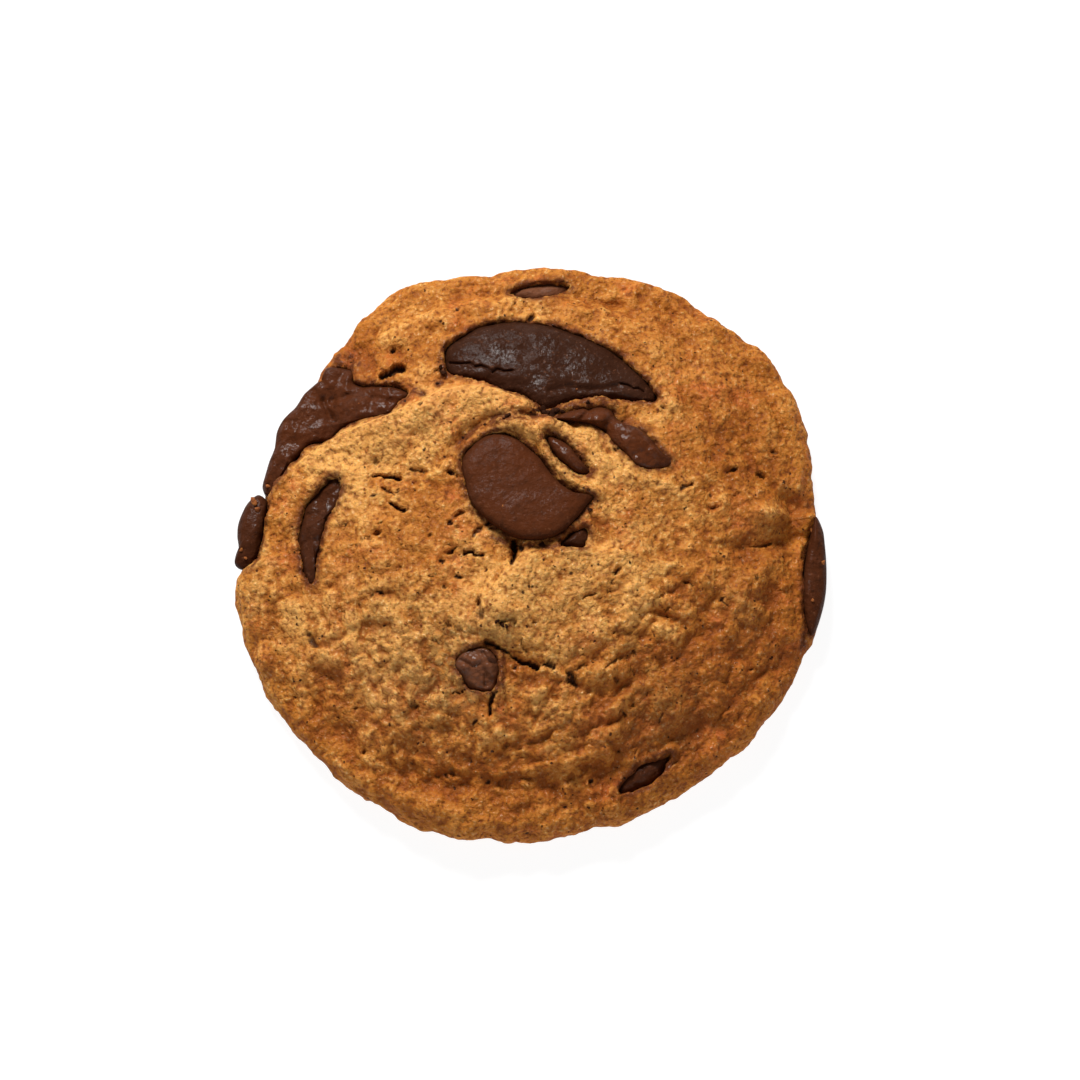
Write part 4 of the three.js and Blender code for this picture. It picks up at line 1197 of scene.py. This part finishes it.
def crumb_material(look):
    """A crumb of crust: brown with paler grains."""
    n = Nodes("crust crumb")
    n.feed(n.shader, {
        "Base Color": n.blend(n.spread(n.noise(0.0006, 2, 0.6), 0.35, 0.65), look.deep_brown_and_shade, look.toasted),
        "Roughness": 0.85,
        "Normal": n.bump(n.noise(0.0004, 3, 0.7), 1.0, 0.0003),
    })
    return n.material


def floor_material():
    """A matt white studio floor with the faintest unevenness."""
    n = Nodes("studio floor")
    n.feed(n.shader, {
        "Base Color": n.blend(n.noise(0.08, 1, 0.5), (0.2, 0.2, 0.2), (0.22, 0.22, 0.22)),
        "Roughness": 0.9,
        "Emission Color": (1, 1, 1),
        "Emission Strength": 0.9,
    })
    return n.material


# What a user can change


def colour_setting(name, description, default):
    """A colour of the materials."""
    return bpy.props.FloatVectorProperty(
        name=name, description=description, subtype="COLOR", size=3, min=0, max=1, default=default
    )


def length_setting(name, description, default):
    """A length in metres."""
    return bpy.props.FloatProperty(
        name=name, description=description, subtype="DISTANCE", unit="LENGTH", default=default
    )


def power_setting(name, description, default):
    """The power of a light or the strength of the sky."""
    return bpy.props.FloatProperty(name=name, description=description, min=0, default=default)


class CookieShape(bpy.types.PropertyGroup):
    """Sizes of the cookie."""

    mean_radius: length_setting("Mean radius", "Radius of the widest line before its lobes", 0.0413)
    centre_height: length_setting("Centre height", "Height of the plain dome in the middle", 0.0152)
    shoulder_height: length_setting("Shoulder height", "Height where the rounded edge begins", 0.006)
    grid_half: bpy.props.IntProperty(
        name="Fineness", description="Rings of the dough's grid", default=148, min=20
    )


class CookieLook(bpy.types.PropertyGroup):
    """Colours of the dough and the chocolate."""

    golden: colour_setting("Golden", "Crust of the top", (0.59, 0.225, 0.041))
    pale: colour_setting("Pale", "Least baked crust", (0.82, 0.4, 0.105))
    # Toasted: crust baked more; through the baked value it also paints shade in creases and between knobs
    toasted: colour_setting("Toasted", "Crust in folds and on grains", (0.43, 0.134, 0.016))
    edge: colour_setting("Edge", "Crust of the edge", (0.55, 0.19, 0.021))
    ruddy: colour_setting("Ruddy", "Reddish patches of the crust", (0.56, 0.125, 0.028))
    olive: colour_setting("Olive", "Dull patches of the crust", (0.4, 0.2, 0.055))
    # Pale grains, partly real sugar and partly painted glints on the grains' tops
    sugar_and_glint: colour_setting("Sugar", "Grains of sugar on the crust", (0.93, 0.56, 0.17))
    # Deep brown: the darkest baked crust, and also painted shade between clumps and grains, in hollows and
    # on slopes away from the light
    deep_brown_and_shade: colour_setting("Deep", "Crust between clumps of grains", (0.27, 0.067, 0.01))
    # The stain colour also paints shade as tiny speckles at the grains' low points
    stain: colour_setting("Stain", "Crust stained by melted chocolate", (0.13, 0.034, 0.01))
    # Pit: painted shade on the floors of pits, pores and cracks
    pit: colour_setting("Pit", "Floor of a pit", (0.03, 0.008, 0.003))
    chocolate_dark: colour_setting("Dark chocolate", "Darkest chocolate", (0.03, 0.01, 0.0045))
    chocolate_warm: colour_setting("Warm chocolate", "Lightest chocolate", (0.1, 0.025, 0.007))
    chocolate_worn: colour_setting("Worn chocolate", "Chocolate thinned by the dough", (0.2, 0.075, 0.035))
    chocolate_bloom: colour_setting("Dry chocolate", "Chocolate where it dried", (0.075, 0.03, 0.017))


class CookieStudio(bpy.types.PropertyGroup):
    """Camera and lights."""

    elevation: bpy.props.FloatProperty(
        name="Camera elevation", description="Angle of the camera over the floor", subtype="ANGLE",
        unit="ROTATION", default=math.radians(80)
    )
    distance: length_setting("Camera distance", "From the camera to the cookie", 0.6)
    view_width: length_setting("View width", "Width of the picture at the cookie", 0.1522)
    aim: bpy.props.FloatVectorProperty(
        name="Aim", description="Point that the camera looks at", subtype="TRANSLATION", unit="LENGTH",
        size=3, default=(0.00126, 0.00141, 0.005)
    )
    key_power: power_setting("Key light", "Power of the main light in watts", 9.5)
    fill_power: power_setting("Fill light", "Power of the light from the camera's side in watts", 1.95)
    sky: power_setting("Sky", "Strength of the even light from all round", 0.18)


# Operators


class COOKIE_OT_dough(bpy.types.Operator):
    """Build the baked dough with its folds, pits and pockets"""

    bl_idname = "cookie.dough"
    bl_label = "Dough"

    def execute(self, context):
        scene = context.scene
        obj = make_dough(scene.cookie_shape, dough_material(scene.cookie_look))
        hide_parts("dough")
        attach(obj, "root")
        return {"FINISHED"}


class COOKIE_OT_chocolate(bpy.types.Operator):
    """Build the pieces of chocolate in their pockets"""

    bl_idname = "cookie.chocolate"
    bl_label = "Chocolate"

    def execute(self, context):
        scene = context.scene
        material = chocolate_material(scene.cookie_look)
        for name, piece in seated_pieces(scene.cookie_shape).items():
            obj = make_chocolate(name, piece, material)
            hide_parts(name)
            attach(obj, "root")
        return {"FINISHED"}


class COOKIE_OT_crumbs(bpy.types.Operator):
    """Scatter loose crumbs of crust over the chocolate and the dough, and flecks of chocolate"""

    bl_idname = "cookie.crumbs"
    bl_label = "Crumbs"

    def execute(self, context):
        look = context.scene.cookie_look
        made = {name: bpy.data.objects[name + "_baked"] for name in CHOCOLATE}
        dough = bpy.data.objects["baked_dough"]
        places = [(x, y) for _, x, y, _ in PLACED_CRUMBS]
        sizes = [size for _, _, _, size in PLACED_CRUMBS]
        heights = [surface_below(made[name], [(x, y)])[0] for name, x, y, _ in PLACED_CRUMBS]
        draw = np.random.default_rng(LOOSE_SEED)
        loose = disc_places(draw, SCATTER_REACH, LOOSE_CRUMBS)
        places = places + loose.tolist()
        sizes = sizes + draw.uniform(*LOOSE_SIZES, LOOSE_CRUMBS).tolist()
        heights = heights + surface_below(dough, loose)
        crumbs = make_crumbs("crust_crumbs", places, sizes, heights, crumb_material(look), CRUMB_SEED)
        spots, sizes = FLECKS[:, :2], FLECKS[:, 2]
        chocolate = bpy.data.materials["dark chocolate"]
        heights = surface_below(dough, spots)
        dark = make_crumbs("chocolate_flecks", spots, sizes, heights, chocolate, FLECK_SEED)
        for obj, finish in ((crumbs, "baked_dough"), (dark, "dark_chocolate")):
            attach(obj, "root")
        return {"FINISHED"}


def stand(name, data, place, direction):
    """Puts a light or a camera at a place, with its -Z along a direction and its +Y towards the top."""
    obj = bpy.data.objects.new(name, data)
    obj.location = place
    level = math.hypot(direction[0], direction[1])
    turn = math.atan2(-direction[0], direction[1])
    obj.rotation_euler = (math.atan2(level, -direction[2]), 0.0, turn)
    bpy.context.scene.collection.objects.link(obj)
    return obj


def area_light(name, place, size, power):
    """A square soft light at a place, turned to face the cookie."""
    data = bpy.data.lights.new(name, "AREA")
    data.size = size
    data.energy = power
    return stand(name, data, place, -np.array(place))


class COOKIE_OT_studio(bpy.types.Operator):
    """Set up the floor, the lights and the camera"""

    bl_idname = "cookie.studio"
    bl_label = "Studio"

    def execute(self, context):
        scene = context.scene
        studio = scene.cookie_studio
        x, y = FLOOR_HALF * np.array([(-1, -1), (1, -1), (1, 1), (-1, 1)]).T
        corners = level_points(x, y) / MM - BOX_SHIFT
        square, triangles = np.array([[0, 1, 2, 3]]), np.empty((0, 3), int)
        floor = add_mesh("studio_floor", corners, square, triangles, {}, floor_material())
        key = area_light("key_light", *KEY_LIGHT, studio.key_power)
        fill = area_light("front_light", *FRONT_LIGHT, studio.fill_power)
        world = bpy.data.worlds.new("studio_sky")
        world.use_nodes = True
        background = world.node_tree.nodes["Background"].inputs
        background["Color"].default_value = (1, 1, 1, 1)
        background["Strength"].default_value = studio.sky
        scene.world = world
        scene.view_settings.view_transform = "Standard"

        data = bpy.data.cameras.new("camera")
        data.sensor_width = SENSOR_WIDTH
        data.lens = SENSOR_WIDTH * studio.distance / studio.view_width
        back = np.array([0, -math.cos(studio.elevation), math.sin(studio.elevation)])
        camera = stand("camera", data, np.array(studio.aim) + studio.distance * back, -back)
        scene.camera = camera
        return {"FINISHED"}


OPERATORS = [COOKIE_OT_dough, COOKIE_OT_chocolate, COOKIE_OT_crumbs, COOKIE_OT_studio]


class COOKIE_PT_panel(bpy.types.Panel):
    """The cookie's settings and the buttons that build its pieces"""

    bl_label = "Cookie"
    bl_idname = "COOKIE_PT_panel"
    bl_space_type = "VIEW_3D"
    bl_region_type = "UI"
    bl_category = "Cookie"

    def draw(self, context):
        for group in (context.scene.cookie_shape, context.scene.cookie_look, context.scene.cookie_studio):
            box = self.layout.box()
            for key in group.__annotations__:
                box.prop(group, key)
        for operator in OPERATORS:
            self.layout.operator(operator.bl_idname)


GROUPS = {"cookie_shape": CookieShape, "cookie_look": CookieLook, "cookie_studio": CookieStudio}


def register():
    for group in GROUPS.values():
        bpy.utils.register_class(group)
    for name, group in GROUPS.items():
        setattr(bpy.types.Scene, name, bpy.props.PointerProperty(type=group))
    for item in (*OPERATORS, COOKIE_PT_panel):
        bpy.utils.register_class(item)


def unregister():
    for item in (COOKIE_PT_panel, *OPERATORS):
        bpy.utils.unregister_class(item)
    for name in GROUPS:
        delattr(bpy.types.Scene, name)
    for group in GROUPS.values():
        bpy.utils.unregister_class(group)


def main():
    """Builds everything with the settings as they are."""
    register()
    bpy.ops.cookie.dough()
    bpy.ops.cookie.chocolate()
    bpy.ops.cookie.crumbs()
    bpy.ops.cookie.studio()


if __name__ == "__main__":
    main()
